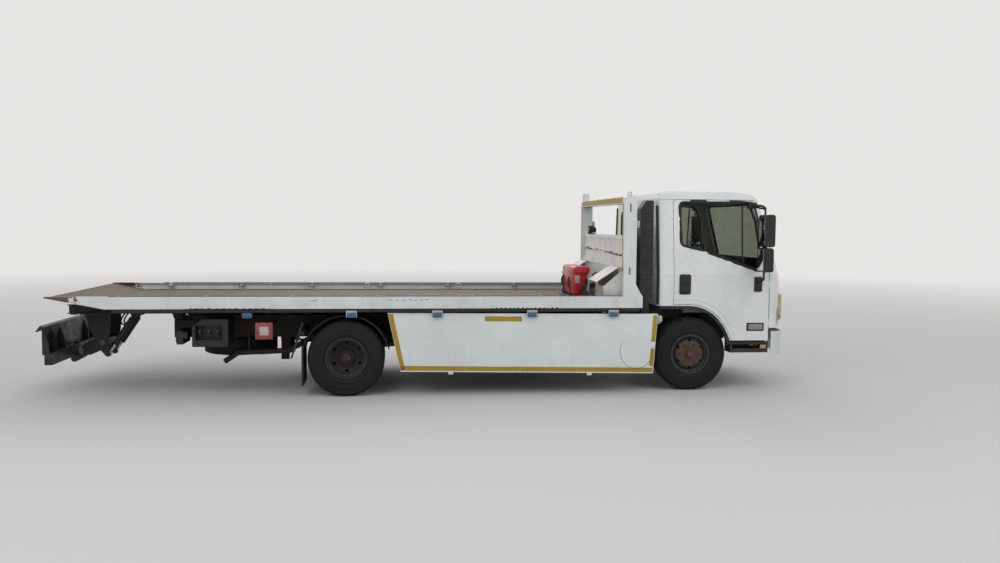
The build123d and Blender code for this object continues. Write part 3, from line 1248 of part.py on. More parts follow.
def make_winch():
    base = block((WINCH_X - 140, WINCH_X + 140), (WINCH_Y[0] - 200, WINCH_Y[1] + 10),
        (FLOOR_TOP + FACE_GAP, FLOOR_TOP + 14))
    frame = base
    for y in (WINCH_Y[0] + 8, WINCH_Y[1] - 20):
        cheek = side_plate([(WINCH_X - 110, FLOOR_TOP + 10), (WINCH_X + 110, FLOOR_TOP + 10),
            (WINCH_X + 80, WINCH_Z + 90), (WINCH_X - 80, WINCH_Z + 90)], (y, y + 12))
        frame = frame + (cheek - across(WINCH_X, (y - 5, y + 20), WINCH_Z, 30 + PIN_FIT))
    gear = across(WINCH_X, (WINCH_Y[0] - 90, WINCH_Y[0] - 8), WINCH_Z, 95)
    motor = across(WINCH_X + 10, (WINCH_Y[0] - 190, WINCH_Y[0] - 80), WINCH_Z - 40, 58)
    valve = block((WINCH_X - 60, WINCH_X + 90), (WINCH_Y[0] - 190, WINCH_Y[0] - 60), (FLOOR_TOP + 10, 1060))
    spigot = across(WINCH_X, (WINCH_Y[0] - 10, WINCH_Y[0] + 8.1), WINCH_Z, 38)
    frame = frame + gear + motor + valve + spigot
    write("winch_frame", frame)
    inner = (WINCH_Y[0] + 22, WINCH_Y[1] - 22)
    core = across(WINCH_X, (inner[0] + 4, inner[1] - 4), WINCH_Z, 66)
    drum = core
    for y in (inner[0] + 4, inner[1] - 12):
        drum = drum + across(WINCH_X, (y, y + 8), WINCH_Z, DRUM_FLANGE)
    turns = 22
    span = inner[1] - inner[0] - 30
    pitch = span / turns
    for index in range(turns):
        y = inner[0] + 15 + pitch * (index + 0.5)
        coil = Pos(WINCH_X, y, WINCH_Z) * Rot(90, 0, 0) * Torus(80, pitch / 2)
        drum = drum + coil if index % 2 else drum
    wrap = across(WINCH_X, (inner[0] + 14, inner[1] - 14), WINCH_Z, 82)
    drum = drum + wrap
    axle = across(WINCH_X, (WINCH_Y[0] + 9, WINCH_Y[1] - 9), WINCH_Z, 30)
    write("winch_drum", drum + axle)
    # Sheet cover over the drum, open below and at the rope slot
    line = [(WINCH_X - 150, 1012), (WINCH_X - 150, 1345), (WINCH_X + 150, 1345), (WINCH_X + 150, 1200),
        (WINCH_X + 120, 1012)]
    cover = side_plate(line, WINCH_Y, 40)
    hollow = side_plate([(WINCH_X - 145, 1000), (WINCH_X - 145, 1340), (WINCH_X + 145, 1340),
        (WINCH_X + 145, 1200), (WINCH_X + 115, 1000)], (WINCH_Y[0] + 5, WINCH_Y[1] - 5), 36)
    cover = cover - hollow
    slot = block((WINCH_X - 160, WINCH_X - 100), (WINCH_Y[0] + 40, WINCH_Y[1] - 40), (1000, 1090))
    cover = cover - across(WINCH_X, (WINCH_Y[0] - 10, WINCH_Y[0] + 20), WINCH_Z, 39)
    cover = cover - slot - block((WINCH_X - 200, WINCH_X + 200), (WINCH_Y[0] - 10, WINCH_Y[1] + 10),
        (1000, 1030))
    write("winch_cover", cover)


def main():
    os.makedirs("parts", exist_ok=True)
    make_wheels()
    make_steering()
    make_axles()
    make_chassis()
    make_tilt_rams()
    make_engine()
    make_tanks()
    make_exhaust()
    make_spare()
    make_mudguards()
    make_skirts()
    make_control_box()
    make_light_bar()
    make_bumper()
    make_snorkel()
    make_cab()
    make_cab_inside()
    make_cab_trim()
    make_mirrors()
    make_tilt_frame()
    make_lift_arm()
    make_stinger()
    make_crossbar()
    make_lift_rams()
    make_deck()
    make_headboard()
    make_lockers()
    make_winch()


if __name__ == "__main__":
    main()
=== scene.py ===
"""Looks of a cab-over slide-bed recovery truck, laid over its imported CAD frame.

Lengths are written in the millimetres of the truck's drawing: X points forward, Y to the
left side and Z up, and the wheels stand on Z = 0. `metres` moves a point to the frame.
"""
from __future__ import annotations

import logging
import math
from dataclasses import dataclass
from enum import Enum
from functools import cached_property
from typing import Iterable, Optional, Sequence, Union

import bmesh
import bpy
from mathutils import Matrix, Vector
from mathutils.bvhtree import BVHTree


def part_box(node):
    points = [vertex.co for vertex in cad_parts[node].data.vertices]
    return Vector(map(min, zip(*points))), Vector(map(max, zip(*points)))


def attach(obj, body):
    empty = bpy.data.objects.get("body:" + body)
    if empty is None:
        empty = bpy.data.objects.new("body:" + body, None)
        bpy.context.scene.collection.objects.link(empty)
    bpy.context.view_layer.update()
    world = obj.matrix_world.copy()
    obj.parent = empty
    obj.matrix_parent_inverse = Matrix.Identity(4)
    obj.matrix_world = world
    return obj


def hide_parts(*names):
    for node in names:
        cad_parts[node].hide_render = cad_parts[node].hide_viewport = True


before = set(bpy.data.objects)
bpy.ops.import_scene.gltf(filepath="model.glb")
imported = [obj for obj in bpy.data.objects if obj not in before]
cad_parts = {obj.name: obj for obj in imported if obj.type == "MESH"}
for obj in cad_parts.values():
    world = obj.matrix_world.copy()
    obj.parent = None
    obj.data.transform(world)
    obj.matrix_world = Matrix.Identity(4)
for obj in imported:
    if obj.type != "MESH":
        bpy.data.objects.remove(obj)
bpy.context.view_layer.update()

LOG = logging.getLogger("truck")
MM = 0.001

# Millimetres in the drawing. The frame's origin is at X = ORIGIN_X.
ORIGIN_X = 96.0
WHEEL_RADIUS = 405.0
FRONT_AXLE_X = 3015.0
REAR_AXLE_X = -765.0
SPARE_WHEEL_X = -2010.0
BED_HALF = 1140.0
FLOOR_TOP = 985.0
MERGE_DISTANCE = 0.02

# Edges turned by more degrees than this stay sharp.
SHARP_ANGLE = 34

# Where rays start, in millimetres of the drawing, and how far they reach, in metres.
SIDE_START, SIDE_REACH = 2500.0, 2.4
FRONT_START, FRONT_REACH = 6000.0, 3.5

Point = Sequence[float]
Spot = tuple[float, float]
Colour = tuple[float, float, float]


class Side(Enum):
    """A side of the truck, by the sign of Y."""

    LEFT = 1
    RIGHT = -1

    @property
    def word(self) -> str:
        """The side's name in lower case."""
        return self.name.lower()


class Axis(Enum):
    """The direction in which an outline is given depth."""

    X = 0
    Y = 1
    Z = 2

    @property
    def way(self) -> Vector:
        """The direction as a vector of length 1."""
        return Vector([float(k == self.value) for k in range(3)])


def metres(x: float, y: float, z: float) -> Vector:
    """Turns a point of the drawing into a point of the frame.

    Args:
        x, y, z: the point in the drawing's millimetres.

    Returns:
        The same point in the frame, in metres.
    """
    return Vector(((x - ORIGIN_X) * MM, y * MM, z * MM))


# Shapes

def ring(x: float, z: float, radius: float, count: int, shift: float = 0.0) -> list[Spot]:
    """Spaces points evenly round a circle.

    Args:
        x, z: its middle.
        radius: its radius.
        count: the number of points.
        shift: how far the first point is moved on, in steps.

    Returns:
        The points.
    """
    turns = (math.tau * (k + shift) / count for k in range(count))
    return [(x + radius * math.cos(a), z + radius * math.sin(a)) for a in turns]


def edges_of(verts: Iterable[bmesh.types.BMVert]) -> set[bmesh.types.BMEdge]:
    """Gathers the edges that meet some vertices.

    Args:
        verts: the vertices.

    Returns:
        The edges.
    """
    return {edge for vert in verts for edge in vert.link_edges}


def curve_along(name: str, points: Sequence[Point], radius: float, sides: int, steps: int,
                smooth: bool = True, closed: bool = False) -> bpy.types.Curve:
    """Draws a bent round bar as a curve.

    Args:
        name: the curve's name.
        points: the line's points.
        radius: the bar's radius.
        sides: the fineness of its roundness.
        steps: the steps from point to point.
        smooth: whether the line is smooth or goes straight from point to point.
        closed: whether its end joins its start.

    Returns:
        The curve.
    """
    curve = bpy.data.curves.new(name, "CURVE")
    curve.dimensions = "3D"
    curve.bevel_depth, curve.bevel_resolution = radius, sides
    curve.resolution_u = steps
    curve.use_fill_caps = True
    spline = curve.splines.new("NURBS" if smooth else "POLY")
    spline.points.add(len(points) - 1)
    for spot, point in zip(spline.points, points):
        spot.co = (*point, 1)
    spline.use_cyclic_u = closed
    if smooth:
        spline.order_u = 3
        spline.use_endpoint_u = not closed
    return curve


def mesh_of(curve: bpy.types.Curve) -> bpy.types.Mesh:
    """Turns a curve into a mesh, and removes the curve.

    Args:
        curve: the curve.

    Returns:
        The mesh.
    """
    holder = bpy.data.objects.new("line", curve)
    mesh = bpy.data.meshes.new_from_object(holder)
    bpy.data.objects.remove(holder)
    bpy.data.curves.remove(curve)
    return mesh


class Shape:
    """One piece's mesh, drawn in the drawing's millimetres with bmesh operators."""

    def __init__(self) -> None:
        """Starts an empty mesh."""
        self.bm = bmesh.new()

    def _bevel(self, edges: Iterable[bmesh.types.BMEdge], width: float, segments: int = 2) -> None:
        """Bevels some edges.

        Args:
            edges: the edges.
            width: the bevel's width, where 0 leaves them sharp.
            segments: the bevel's number of steps.
        """
        if width > 0:
            bmesh.ops.bevel(self.bm, geom=list(edges), offset=width, affect="EDGES",
                            segments=segments, profile=0.5, material=-1)

    def box(self, one: Point, two: Point, edge: float = 0.0, segments: int = 2) -> "Shape":
        """Adds a box between two opposite corners, with softened edges.

        Args:
            one, two: the corners.
            edge: the width of its softened edges.
            segments: the steps of each softened edge.

        Returns:
            This shape.
        """
        low, high = (Vector([pick(pair) for pair in zip(one, two)]) for pick in (min, max))
        made = bmesh.ops.create_cube(self.bm, size=1.0)["verts"]
        bmesh.ops.scale(self.bm, vec=high - low, verts=made)
        bmesh.ops.translate(self.bm, vec=(low + high) / 2, verts=made)
        self._bevel(edges_of(made), edge, segments)
        return self

    def rod(self, start: Point, end: Point, radius: float, sides: int = 20,
            tip: Optional[float] = None, edge: float = 0.0) -> "Shape":
        """Adds a round bar or a cone between two points.

        Args:
            start, end: the middle of each end.
            radius: the radius at the start.
            sides: the number of sides round it.
            tip: the radius at the end, if it differs.
            edge: the width of softened ends.

        Returns:
            This shape.
        """
        a, b = Vector(start), Vector(end)
        turn = (b - a).to_track_quat("Z", "Y").to_matrix().to_4x4()
        made = bmesh.ops.create_cone(
            self.bm, cap_ends=True, segments=sides, radius1=radius,
            radius2=radius if tip is None else tip, depth=(b - a).length,
            matrix=Matrix.Translation((a + b) / 2) @ turn,
        )["verts"]
        rims = {e for e in edges_of(made) if len(e.link_faces) == 2
                and any(len(f.verts) > 4 for f in e.link_faces)}
        self._bevel(rims, edge)
        return self

    def ball(self, centre: Point, radius: float, squash: float = 1.0) -> "Shape":
        """Adds a ball, flattened in Z if asked.

        Args:
            centre: its middle.
            radius: its radius.
            squash: its height as a share of its width.

        Returns:
            This shape.
        """
        place = Matrix.Translation(Vector(centre)) @ Matrix.Diagonal((1, 1, squash, 1))
        bmesh.ops.create_uvsphere(self.bm, u_segments=16, v_segments=10, radius=radius,
                                  matrix=place)
        return self

    def plate(self, outline: Sequence[Spot], axis: Axis, span: Spot,
              edge: float = 0.0) -> "Shape":
        """Adds a flat outline with depth.

        Args:
            outline: its corners, as (X, Z) for depth along Y, (Y, Z) along X and (X, Y)
                along Z.
            axis: the direction of its depth.
            span: where its depth starts and ends.
            edge: the width of softened edges.

        Returns:
            This shape.
        """
        verts = []
        for spot in outline:
            place = list(spot)
            place.insert(axis.value, span[0])
            verts.append(self.bm.verts.new(place))
        face = self.bm.faces.new(verts)
        grown = bmesh.ops.extrude_face_region(self.bm, geom=[face])["geom"]
        new = [g for g in grown if isinstance(g, bmesh.types.BMVert)]
        bmesh.ops.translate(self.bm, vec=axis.way * (span[1] - span[0]), verts=new)
        self._bevel(edges_of(verts + new), edge)
        return self

    def lathe(self, profile: Sequence[Spot], centre: Point, axis: Axis = Axis.Y,
              steps: int = 48, closed: bool = True) -> "Shape":
        """Adds a turned form.

        Args:
            profile: radius and distance along the axis, point by point.
            centre: the middle of the form.
            axis: the axis that it is turned round.
            steps: the steps of the turn.
            closed: whether the profile's last point joins its first.

        Returns:
            This shape.
        """
        c = Vector(centre)
        out = Vector((1, 0, 0)) if axis is Axis.Z else Vector((0, 0, 1))
        verts = [self.bm.verts.new(c + out * r + axis.way * h) for r, h in profile]
        pairs = list(zip(verts, verts[1:])) + ([(verts[-1], verts[0])] if closed else [])
        edges = [self.bm.edges.new(pair) for pair in pairs]
        bmesh.ops.spin(self.bm, geom=verts + edges, cent=c, axis=axis.way, angle=math.tau,
                       steps=steps, use_merge=True, use_duplicate=False)
        return self

    def wire(self, points: Sequence[Point], radius: float, closed: bool = False,
             sides: int = 3, smooth: bool = True) -> "Shape":
        """Adds a bent round bar or bead along some points.

        Args:
            points: the line's points.
            radius: the bar's radius.
            closed: whether its end joins its start.
            sides: the fineness of its roundness.
            smooth: whether the line is drawn as a smooth curve.

        Returns:
            This shape.
        """
        mesh = mesh_of(curve_along("line", points, radius, sides, 4, smooth, closed))
        self.bm.from_mesh(mesh)
        bpy.data.meshes.remove(mesh)
        return self

    def ribbon(self, points: Sequence[Point], out: Point, width: float, depth: float,
               closed: bool = False) -> "Shape":
        """Adds a flat band that follows some points, standing out from a surface.

        Args:
            points: the middle of the band.
            out: the direction in which it stands out.
            width: the width of the band.
            depth: how far it stands out.
            closed: whether its end joins its start.

        Returns:
            This shape.
        """
        spots = [Vector(p) for p in points]
        face_out = Vector(out).normalized()
        rows = []
        count = len(spots)
        for i, spot in enumerate(spots):
            before = spots[i - 1] if (i or closed) else spot
            after = spots[(i + 1) % count] if (i + 1 < count or closed) else spot
            way = (after - before).normalized()
            across = way.cross(face_out).normalized() * width / 2
            rows.append([self.bm.verts.new(spot + a * across + b * face_out * depth)
                         for a, b in ((-1, 0), (-0.8, 1), (0.8, 1), (1, 0))])
        pairs = list(zip(rows, rows[1:])) + ([(rows[-1], rows[0])] if closed else [])
        for one, two in pairs:
            for k in range(4):
                self.bm.faces.new((one[k], one[(k + 1) % 4], two[(k + 1) % 4], two[k]))
        if not closed:
            self.bm.faces.new(rows[0])
            self.bm.faces.new(list(reversed(rows[-1])))
        return self

    def bolts(self, spots: Iterable[Point], out: Point, size: float, height: float) -> "Shape":
        """Adds six-sided bolt heads.

        Args:
            spots: the middle of each bolt's foot.
            out: the direction in which they stand out.
            size: the radius of a head.
            height: the height of a head.

        Returns:
            This shape.
        """
        way = Vector(out).normalized()
        for spot in spots:
            foot = Vector(spot)
            self.rod(foot - way * 1.5, foot + way * height, size, 6, size * 0.9)
        return self

    def turned(self, angle: float, axis: Axis, centre: Point) -> "Shape":
        """Turns what was drawn.

        Args:
            angle: the angle in degrees.
            axis: the axis of the turn.
            centre: a point on the axis.

        Returns:
            This shape.
        """
        turn = Matrix.Rotation(math.radians(angle), 3, axis.name)
        bmesh.ops.rotate(self.bm, cent=Vector(centre), matrix=turn, verts=self.bm.verts[:])
        return self

    def mirrored(self) -> "Shape":
        """Adds the same form on the other side of the truck.

        Returns:
            This shape.
        """
        geom = self.bm.verts[:] + self.bm.edges[:] + self.bm.faces[:]
        copy = bmesh.ops.duplicate(self.bm, geom=geom)["geom"]
        verts = [g for g in copy if isinstance(g, bmesh.types.BMVert)]
        faces = [g for g in copy if isinstance(g, bmesh.types.BMFace)]
        bmesh.ops.scale(self.bm, vec=(1, -1, 1), verts=verts)
        bmesh.ops.reverse_faces(self.bm, faces=faces)
        return self

    def done(self, name: str, body: str, finish: "Finish", smooth: bool = True,
             replaces: Sequence[str] = ()) -> bpy.types.Object:
        """Makes the shape an object that moves with a body.

        Args:
            name: the piece's name.
            body: the body that it rides on.
            finish: its finish.
            smooth: whether its gentle edges are shaded smooth.
            replaces: the CAD nodes that it stands for.

        Returns:
            The new object.
        """
        bmesh.ops.remove_doubles(self.bm, verts=self.bm.verts, dist=MERGE_DISTANCE)
        bmesh.ops.recalc_face_normals(self.bm, faces=self.bm.faces)
        for vert in self.bm.verts:
            vert.co = metres(*vert.co)
        mesh = bpy.data.meshes.new(name)
        self.bm.to_mesh(mesh)
        self.bm.free()
        mesh.materials.append(finish.material())
        piece = bpy.data.objects.new(name, mesh)
        bpy.context.scene.collection.objects.link(piece)
        if smooth:
            for polygon in mesh.polygons:
                polygon.use_smooth = True
            mesh.set_sharp_from_angle(angle=math.radians(SHARP_ANGLE))
        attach(piece, body)
        if replaces:
            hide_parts(*replaces)
        LOG.info("%s: %d faces on %s", name, len(mesh.polygons), body)
        return piece


class Skin:
    """The outer surface of some CAD nodes, for seating pieces on it."""

    def __init__(self, *nodes: str) -> None:
        """Gathers the nodes' faces.

        Args:
            nodes: the CAD nodes' names.
        """
        verts: list[Vector] = []
        faces: list[list[int]] = []
        for node in nodes:
            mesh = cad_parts[node].data
            first = len(verts)
            verts += [v.co.copy() for v in mesh.vertices]
            faces += [[first + i for i in p.vertices] for p in mesh.polygons]
        self.tree = BVHTree.FromPolygons(verts, faces)

    def side_y(self, x: float, z: float, side: Side, miss: float) -> float:
        """Finds how far out the surface stands at a place on one side.

        Args:
            x, z: the place in the drawing.
            side: the side that it is seen from.
            miss: the answer where nothing is there.

        Returns:
            The surface's Y in the drawing's millimetres.
        """
        start = metres(x, SIDE_START * side.value, z)
        hit = self.tree.ray_cast(start, Vector((0, -side.value, 0)), SIDE_REACH)[0]
        return miss * side.value if hit is None else hit.y / MM

    def front_x(self, y: float, z: float, miss: float) -> float:
        """Finds how far forward the surface stands at a place seen from the front.

        Args:
            y, z: the place in the drawing.
            miss: the answer where nothing is there.

        Returns:
            The surface's X in the drawing's millimetres.
        """
        hit = self.tree.ray_cast(metres(FRONT_START, y, z), Vector((-1, 0, 0)), FRONT_REACH)[0]
        return miss if hit is None else hit.x / MM + ORIGIN_X


def along(points: Sequence[Spot], step: float, closed: bool = True,
          round_by: float = 0.0) -> list[Spot]:
    """Spaces points evenly along an outline.

    Args:
        points: the outline's corners.
        step: the distance between two points.
        closed: whether the last corner joins the first.
        round_by: how much of each corner is cut round.

    Returns:
        The points.
    """
    corners = [Vector(p) for p in points]
    if round_by:
        soft = []
        for i, corner in enumerate(corners):
            back = (corners[i - 1] - corner).normalized() * round_by
            on = (corners[(i + 1) % len(corners)] - corner).normalized() * round_by
            for t in (0.0, 0.25, 0.5, 0.75, 1.0):
                one, two = corner + back * (1 - t), corner + on * t
                soft.append(one.lerp(two, t))
        corners = soft
    spots: list[Spot] = []
    ends = corners[1:] + (corners[:1] if closed else [])
    for one, two in zip(corners, ends):
        count = max(1, int((two - one).length // step))
        spots += [tuple(one.lerp(two, k / count)) for k in range(count)]
    if not closed:
        spots.append(tuple(corners[-1]))
    return spots


# Finishes

class Graph:
    """The nodes of a material or a world. Patterns are read in Object coordinates."""

    def __init__(self, owner: Union[bpy.types.Material, bpy.types.World]) -> None:
        """Opens the node tree.

        Args:
            owner: the material or the world.
        """
        owner.use_nodes = True
        self.tree = owner.node_tree

    @cached_property
    def shader(self) -> bpy.types.Node:
        """The material's main shader."""
        return self.tree.nodes["Principled BSDF"]

    @cached_property
    def place(self) -> bpy.types.NodeSocket:
        """The place in Object coordinates."""
        return self.node("TexCoord").outputs["Object"]

    def node(self, kind: str, inputs: Optional[dict] = None, **settings: object) -> bpy.types.Node:
        """Adds a node.

        Args:
            kind: its kind.
            inputs: what its inputs are joined or set to.
            settings: its own settings.

        Returns:
            The node.
        """
        node = self.tree.nodes.new("ShaderNode" + kind)
        for name, value in settings.items():
            setattr(node, name, value)
        for name, value in (inputs or {}).items():
            self._join(node.inputs[name], value)
        return node

    def _join(self, socket: bpy.types.NodeSocket, value: object) -> None:
        """Links a socket to an output, or sets it to a plain value.

        Args:
            socket: the input.
            value: an output socket, a number, a vector or a colour.
        """
        if isinstance(value, bpy.types.NodeSocket):
            self.tree.links.new(value, socket)
        elif socket.type == "RGBA":
            socket.default_value = (*value, 1.0)
        else:
            socket.default_value = value

    def set(self, name: str, value: object) -> None:
        """Sets one input of the main shader.

        Args:
            name: the input's name.
            value: an output socket, a number or a colour.
        """
        self._join(self.shader.inputs[name], value)

    def noise(self, scale: float, detail: float = 3.0, rough: float = 0.55,
              stretch: Point = (1, 1, 1)) -> bpy.types.NodeSocket:
        """Adds a cloudy pattern.

        Args:
            scale: how fine it is, per metre.
            detail: the number of finer layers.
            rough: the strength of the finer layers.
            stretch: its scale along X, Y and Z.

        Returns:
            Its value, from 0 to 1.
        """
        place = self.node("Mapping", {"Scale": stretch, "Vector": self.place}).outputs["Vector"]
        return self.node("TexNoise", {"Scale": scale, "Detail": detail, "Roughness": rough,
                                      "Vector": place}).outputs["Fac"]

    def cells(self, scale: float) -> bpy.types.NodeSocket:
        """Adds a pattern of cells.

        Args:
            scale: how fine it is, per metre.

        Returns:
            The distance from each cell's middle.
        """
        return self.node("TexVoronoi", {"Scale": scale, "Vector": self.place}).outputs["Distance"]

    def span(self, value: object, low: float, high: float, start: float = 0.0,
             end: float = 1.0) -> bpy.types.NodeSocket:
        """Turns a range of values into another, and holds it at its ends.

        Args:
            value: the value.
            low, high: the range that it is read in.
            start, end: what the range becomes.

        Returns:
            The new value.
        """
        return self.node("MapRange", {"Value": value, "From Min": low, "From Max": high,
                                      "To Min": start, "To Max": end}).outputs["Result"]

    def sum(self, kind: str, one: object, two: object) -> bpy.types.NodeSocket:
        """Joins two values.

        Args:
            kind: the operation, such as MULTIPLY or ADD.
            one, two: the values.

        Returns:
            The result, held from 0 to 1.
        """
        return self.node("Math", {0: one, 1: two}, operation=kind, use_clamp=True).outputs[0]

    def mix(self, share: object, one: object, two: object) -> bpy.types.NodeSocket:
        """Mixes two colours.

        Args:
            share: the share of the second.
            one, two: the colours.

        Returns:
            The mixed colour.
        """
        return self.node("Mix", {"Factor": share, 6: one, 7: two}, data_type="RGBA").outputs[2]

    def part(self, name: str) -> bpy.types.NodeSocket:
        """Reads one direction of the place.

        Args:
            name: X, Y or Z.

        Returns:
            That distance in metres.
        """
        return self.node("SeparateXYZ", {0: self.place}).outputs[name]

    def away(self, x: float, z: float) -> bpy.types.NodeSocket:
        """Measures how far a place is from an axle that runs along Y.

        Args:
            x, z: the axle's place in the drawing.

        Returns:
            The distance in metres.
        """
        flat = self.node("VectorMath", {0: self.place, 1: (1, 0, 1)}, operation="MULTIPLY")
        axle = metres(x, 0, z)
        far = self.node("VectorMath", {0: flat.outputs[0], 1: axle}, operation="DISTANCE")
        return far.outputs["Value"]

    def bump(self, height: object, depth: float, strength: float = 0.5) -> None:
        """Roughens the surface by a height.

        Args:
            height: the height's pattern.
            depth: its depth in metres.
            strength: how much of it shows.
        """
        inputs = {"Distance": depth, "Strength": strength, "Height": height}
        last = self.shader.inputs["Normal"]
        if last.is_linked:
            inputs["Normal"] = last.links[0].from_socket
        self._join(last, self.node("Bump", inputs).outputs["Normal"])

    def seen(self) -> bpy.types.NodeSocket:
        """Tells the rays that show something to the camera, in a mirror or through glass.

        Returns:
            1 for such a ray and 0 for any other.
        """
        rays = self.node("LightPath").outputs
        direct = self.sum("ADD", rays["Is Camera Ray"], rays["Is Glossy Ray"])
        return self.sum("ADD", direct, rays["Is Transmission Ray"])

    def blend(self, share: object, one: bpy.types.Node, two: bpy.types.Node, end: str) -> None:
        """Mixes two shaders and shows the outcome.

        Args:
            share: the share of the second.
            one, two: the shaders' nodes.
            end: the name of the tree's last node.
        """
        mixed = self.node("MixShader", {0: share, 1: one.outputs[0], 2: two.outputs[0]})
        self._join(self.tree.nodes[end].inputs["Surface"], mixed.outputs[0])


_MADE: dict[str, bpy.types.Material] = {}


@dataclass(frozen=True)
class Finish:
    """A named finish. It makes its material once."""

    name: str

    def material(self) -> bpy.types.Material:
        """Makes the material, or gives the one already made.

        Returns:
            The material.
        """
        if self.name not in _MADE:
            _MADE[self.name] = bpy.data.materials.new(self.name)
            self.dress(Graph(_MADE[self.name]))
        return _MADE[self.name]

    def dress(self, graph: Graph) -> None:
        """Fills the material's nodes.

        Args:
            graph: the material's node tree.
        """


@dataclass(frozen=True)
class Paint(Finish):
    """Sprayed paint with road dust, rain streaks, chips down to rust and small dents.

    The dust is thickest at the height `low` and thin at `high`, in metres. Behind the X
    `worn_behind`, where that is given, the paint is worn off.
    """

    colour: Colour
    rough: float = 0.34
    dust: float = 0.35
    dust_colour: Colour = (0.40, 0.36, 0.30)
    streaks: float = 0.25
    chips: float = 0.15
    chip_colour: Colour = (0.055, 0.035, 0.025)
    worn_colour: Colour = (0.085, 0.055, 0.038)
    dents: float = 0.0016
    coat: float = 0.25
    low: float = 0.2
    high: float = 0.9
    worn_behind: Optional[float] = None

    def dress(self, graph: Graph) -> None:
        """Fills the material's nodes.

        Args:
            graph: the material's node tree.
        """
        fade = graph.noise(2.3, 2.0)
        tint = tuple(c * 0.84 for c in self.colour)
        base = graph.mix(graph.span(fade, 0.35, 0.7, 0.0, 0.6), self.colour, tint)
        lines = graph.noise(9.0, 4.0, 0.6, (2.2, 2.2, 0.16))
        streak = graph.sum("MULTIPLY", graph.span(lines, 0.52, 0.72), self.streaks)
        base = graph.mix(streak, base, self.dust_colour)
        height = graph.span(graph.part("Z"), self.low, self.high, 1.0, 0.25)
        cloud = graph.span(graph.noise(5.5, 6.0, 0.62), 0.42, 0.74)
        soil = graph.sum("MULTIPLY", graph.sum("MULTIPLY", cloud, height), self.dust)
        base = graph.mix(soil, base, self.dust_colour)
        edge = graph.noise(34.0, 8.0, 0.66)
        where = graph.noise(3.1, 3.0, 0.6)
        worn = graph.sum("MULTIPLY", graph.span(edge, 0.66, 0.70), graph.span(where, 0.5, 0.62))
        bare = graph.sum("MULTIPLY", worn, graph.span(self.chips, 0.0, 0.3))
        base = graph.mix(bare, base, self.chip_colour)
        if self.worn_behind is not None:
            behind = graph.span(graph.part("X"), self.worn_behind + 0.2, self.worn_behind - 0.2)
            rag = graph.span(graph.noise(17.0, 6.0, 0.7), 0.2, 0.8, 0.0, 0.9)
            ragged = graph.sum("SUBTRACT", behind, rag)
            base = graph.mix(graph.span(ragged, 0.0, 0.06), base, self.worn_colour)
        graph.set("Base Color", base)
        rough = graph.span(graph.noise(14.0, 4.0), 0.3, 0.7, self.rough - 0.08, self.rough + 0.14)
        graph.set("Roughness", rough)
        graph.set("Coat Weight", self.coat)
        graph.set("Coat Roughness", 0.12)
        graph.bump(graph.noise(3.8, 2.0), self.dents * 4, 0.35)
        graph.bump(graph.noise(420.0, 2.0), 0.00015, 0.25)
        graph.bump(bare, -0.0006, 0.6)


@dataclass(frozen=True)
class Rust(Finish):
    """Bare or once painted steel that has gone brown, with scrapes along the truck."""

    colour: Colour = (0.105, 0.072, 0.052)
    second: Colour = (0.20, 0.165, 0.135)
    dark: Colour = (0.030, 0.022, 0.018)
    grain: float = 1.0
    scrapes: float = 0.6
    pale: Colour = (0.34, 0.31, 0.28)

    def dress(self, graph: Graph) -> None:
        """Fills the material's nodes.

        Args:
            graph: the material's node tree.
        """
        patch = graph.span(graph.noise(1.7 * self.grain, 6.0, 0.66), 0.38, 0.66)
        base = graph.mix(patch, self.colour, self.second)
        fine = graph.span(graph.noise(24.0 * self.grain, 8.0, 0.7), 0.45, 0.66)
        base = graph.mix(graph.sum("MULTIPLY", fine, 0.55), base, self.dark)
        lines = graph.noise(30.0, 5.0, 0.6, (0.07, 1.6, 1.6))
        scratch = graph.sum("MULTIPLY", graph.span(lines, 0.60, 0.68), self.scrapes)
        base = graph.mix(scratch, base, self.pale)
        graph.set("Base Color", base)
        graph.set("Metallic", 0.25)
        graph.set("Roughness", graph.span(patch, 0, 1, 0.62, 0.85))
        graph.bump(graph.noise(120.0, 6.0, 0.7), 0.0012, 0.5)
        graph.bump(graph.noise(11.0, 3.0), 0.003, 0.35)


@dataclass(frozen=True)
class Steel(Finish):
    """Plain metal with a fine grain and dull stains."""

    colour: Colour = (0.42, 0.42, 0.41)
    rough: float = 0.38
    stain: Colour = (0.20, 0.17, 0.14)
    stained: float = 0.45
    metal: float = 0.85

    def dress(self, graph: Graph) -> None:
        """Fills the material's nodes.

        Args:
            graph: the material's node tree.
        """
        cloud = graph.span(graph.noise(13.0, 6.0, 0.65), 0.45, 0.72)
        share = graph.sum("MULTIPLY", cloud, self.stained)
        graph.set("Base Color", graph.mix(share, self.colour, self.stain))
        graph.set("Metallic", self.metal)
        graph.set("Roughness", graph.span(cloud, 0, 1, self.rough, self.rough + 0.3))
        graph.bump(graph.noise(260.0, 3.0), 0.0004, 0.4)


@dataclass(frozen=True)
class Plastic(Finish):
    """Moulded plastic or rubber with a fine grain and dust in it."""

    colour: Colour = (0.012, 0.013, 0.014)
    rough: float = 0.55
    dust: float = 0.25
    dust_colour: Colour = (0.10, 0.095, 0.085)
    grain: float = 600.0
    depth: float = 0.0003

    def dress(self, graph: Graph) -> None:
        """Fills the material's nodes.

        Args:
            graph: the material's node tree.
        """
        cloud = graph.span(graph.noise(8.0, 6.0, 0.65), 0.42, 0.75)
        share = graph.sum("MULTIPLY", cloud, self.dust)
        graph.set("Base Color", graph.mix(share, self.colour, self.dust_colour))
        graph.set("Roughness", graph.span(cloud, 0, 1, self.rough, min(1.0, self.rough + 0.2)))
        graph.set("Specular IOR Level", 0.35)
        graph.bump(graph.cells(self.grain), self.depth, 0.5)


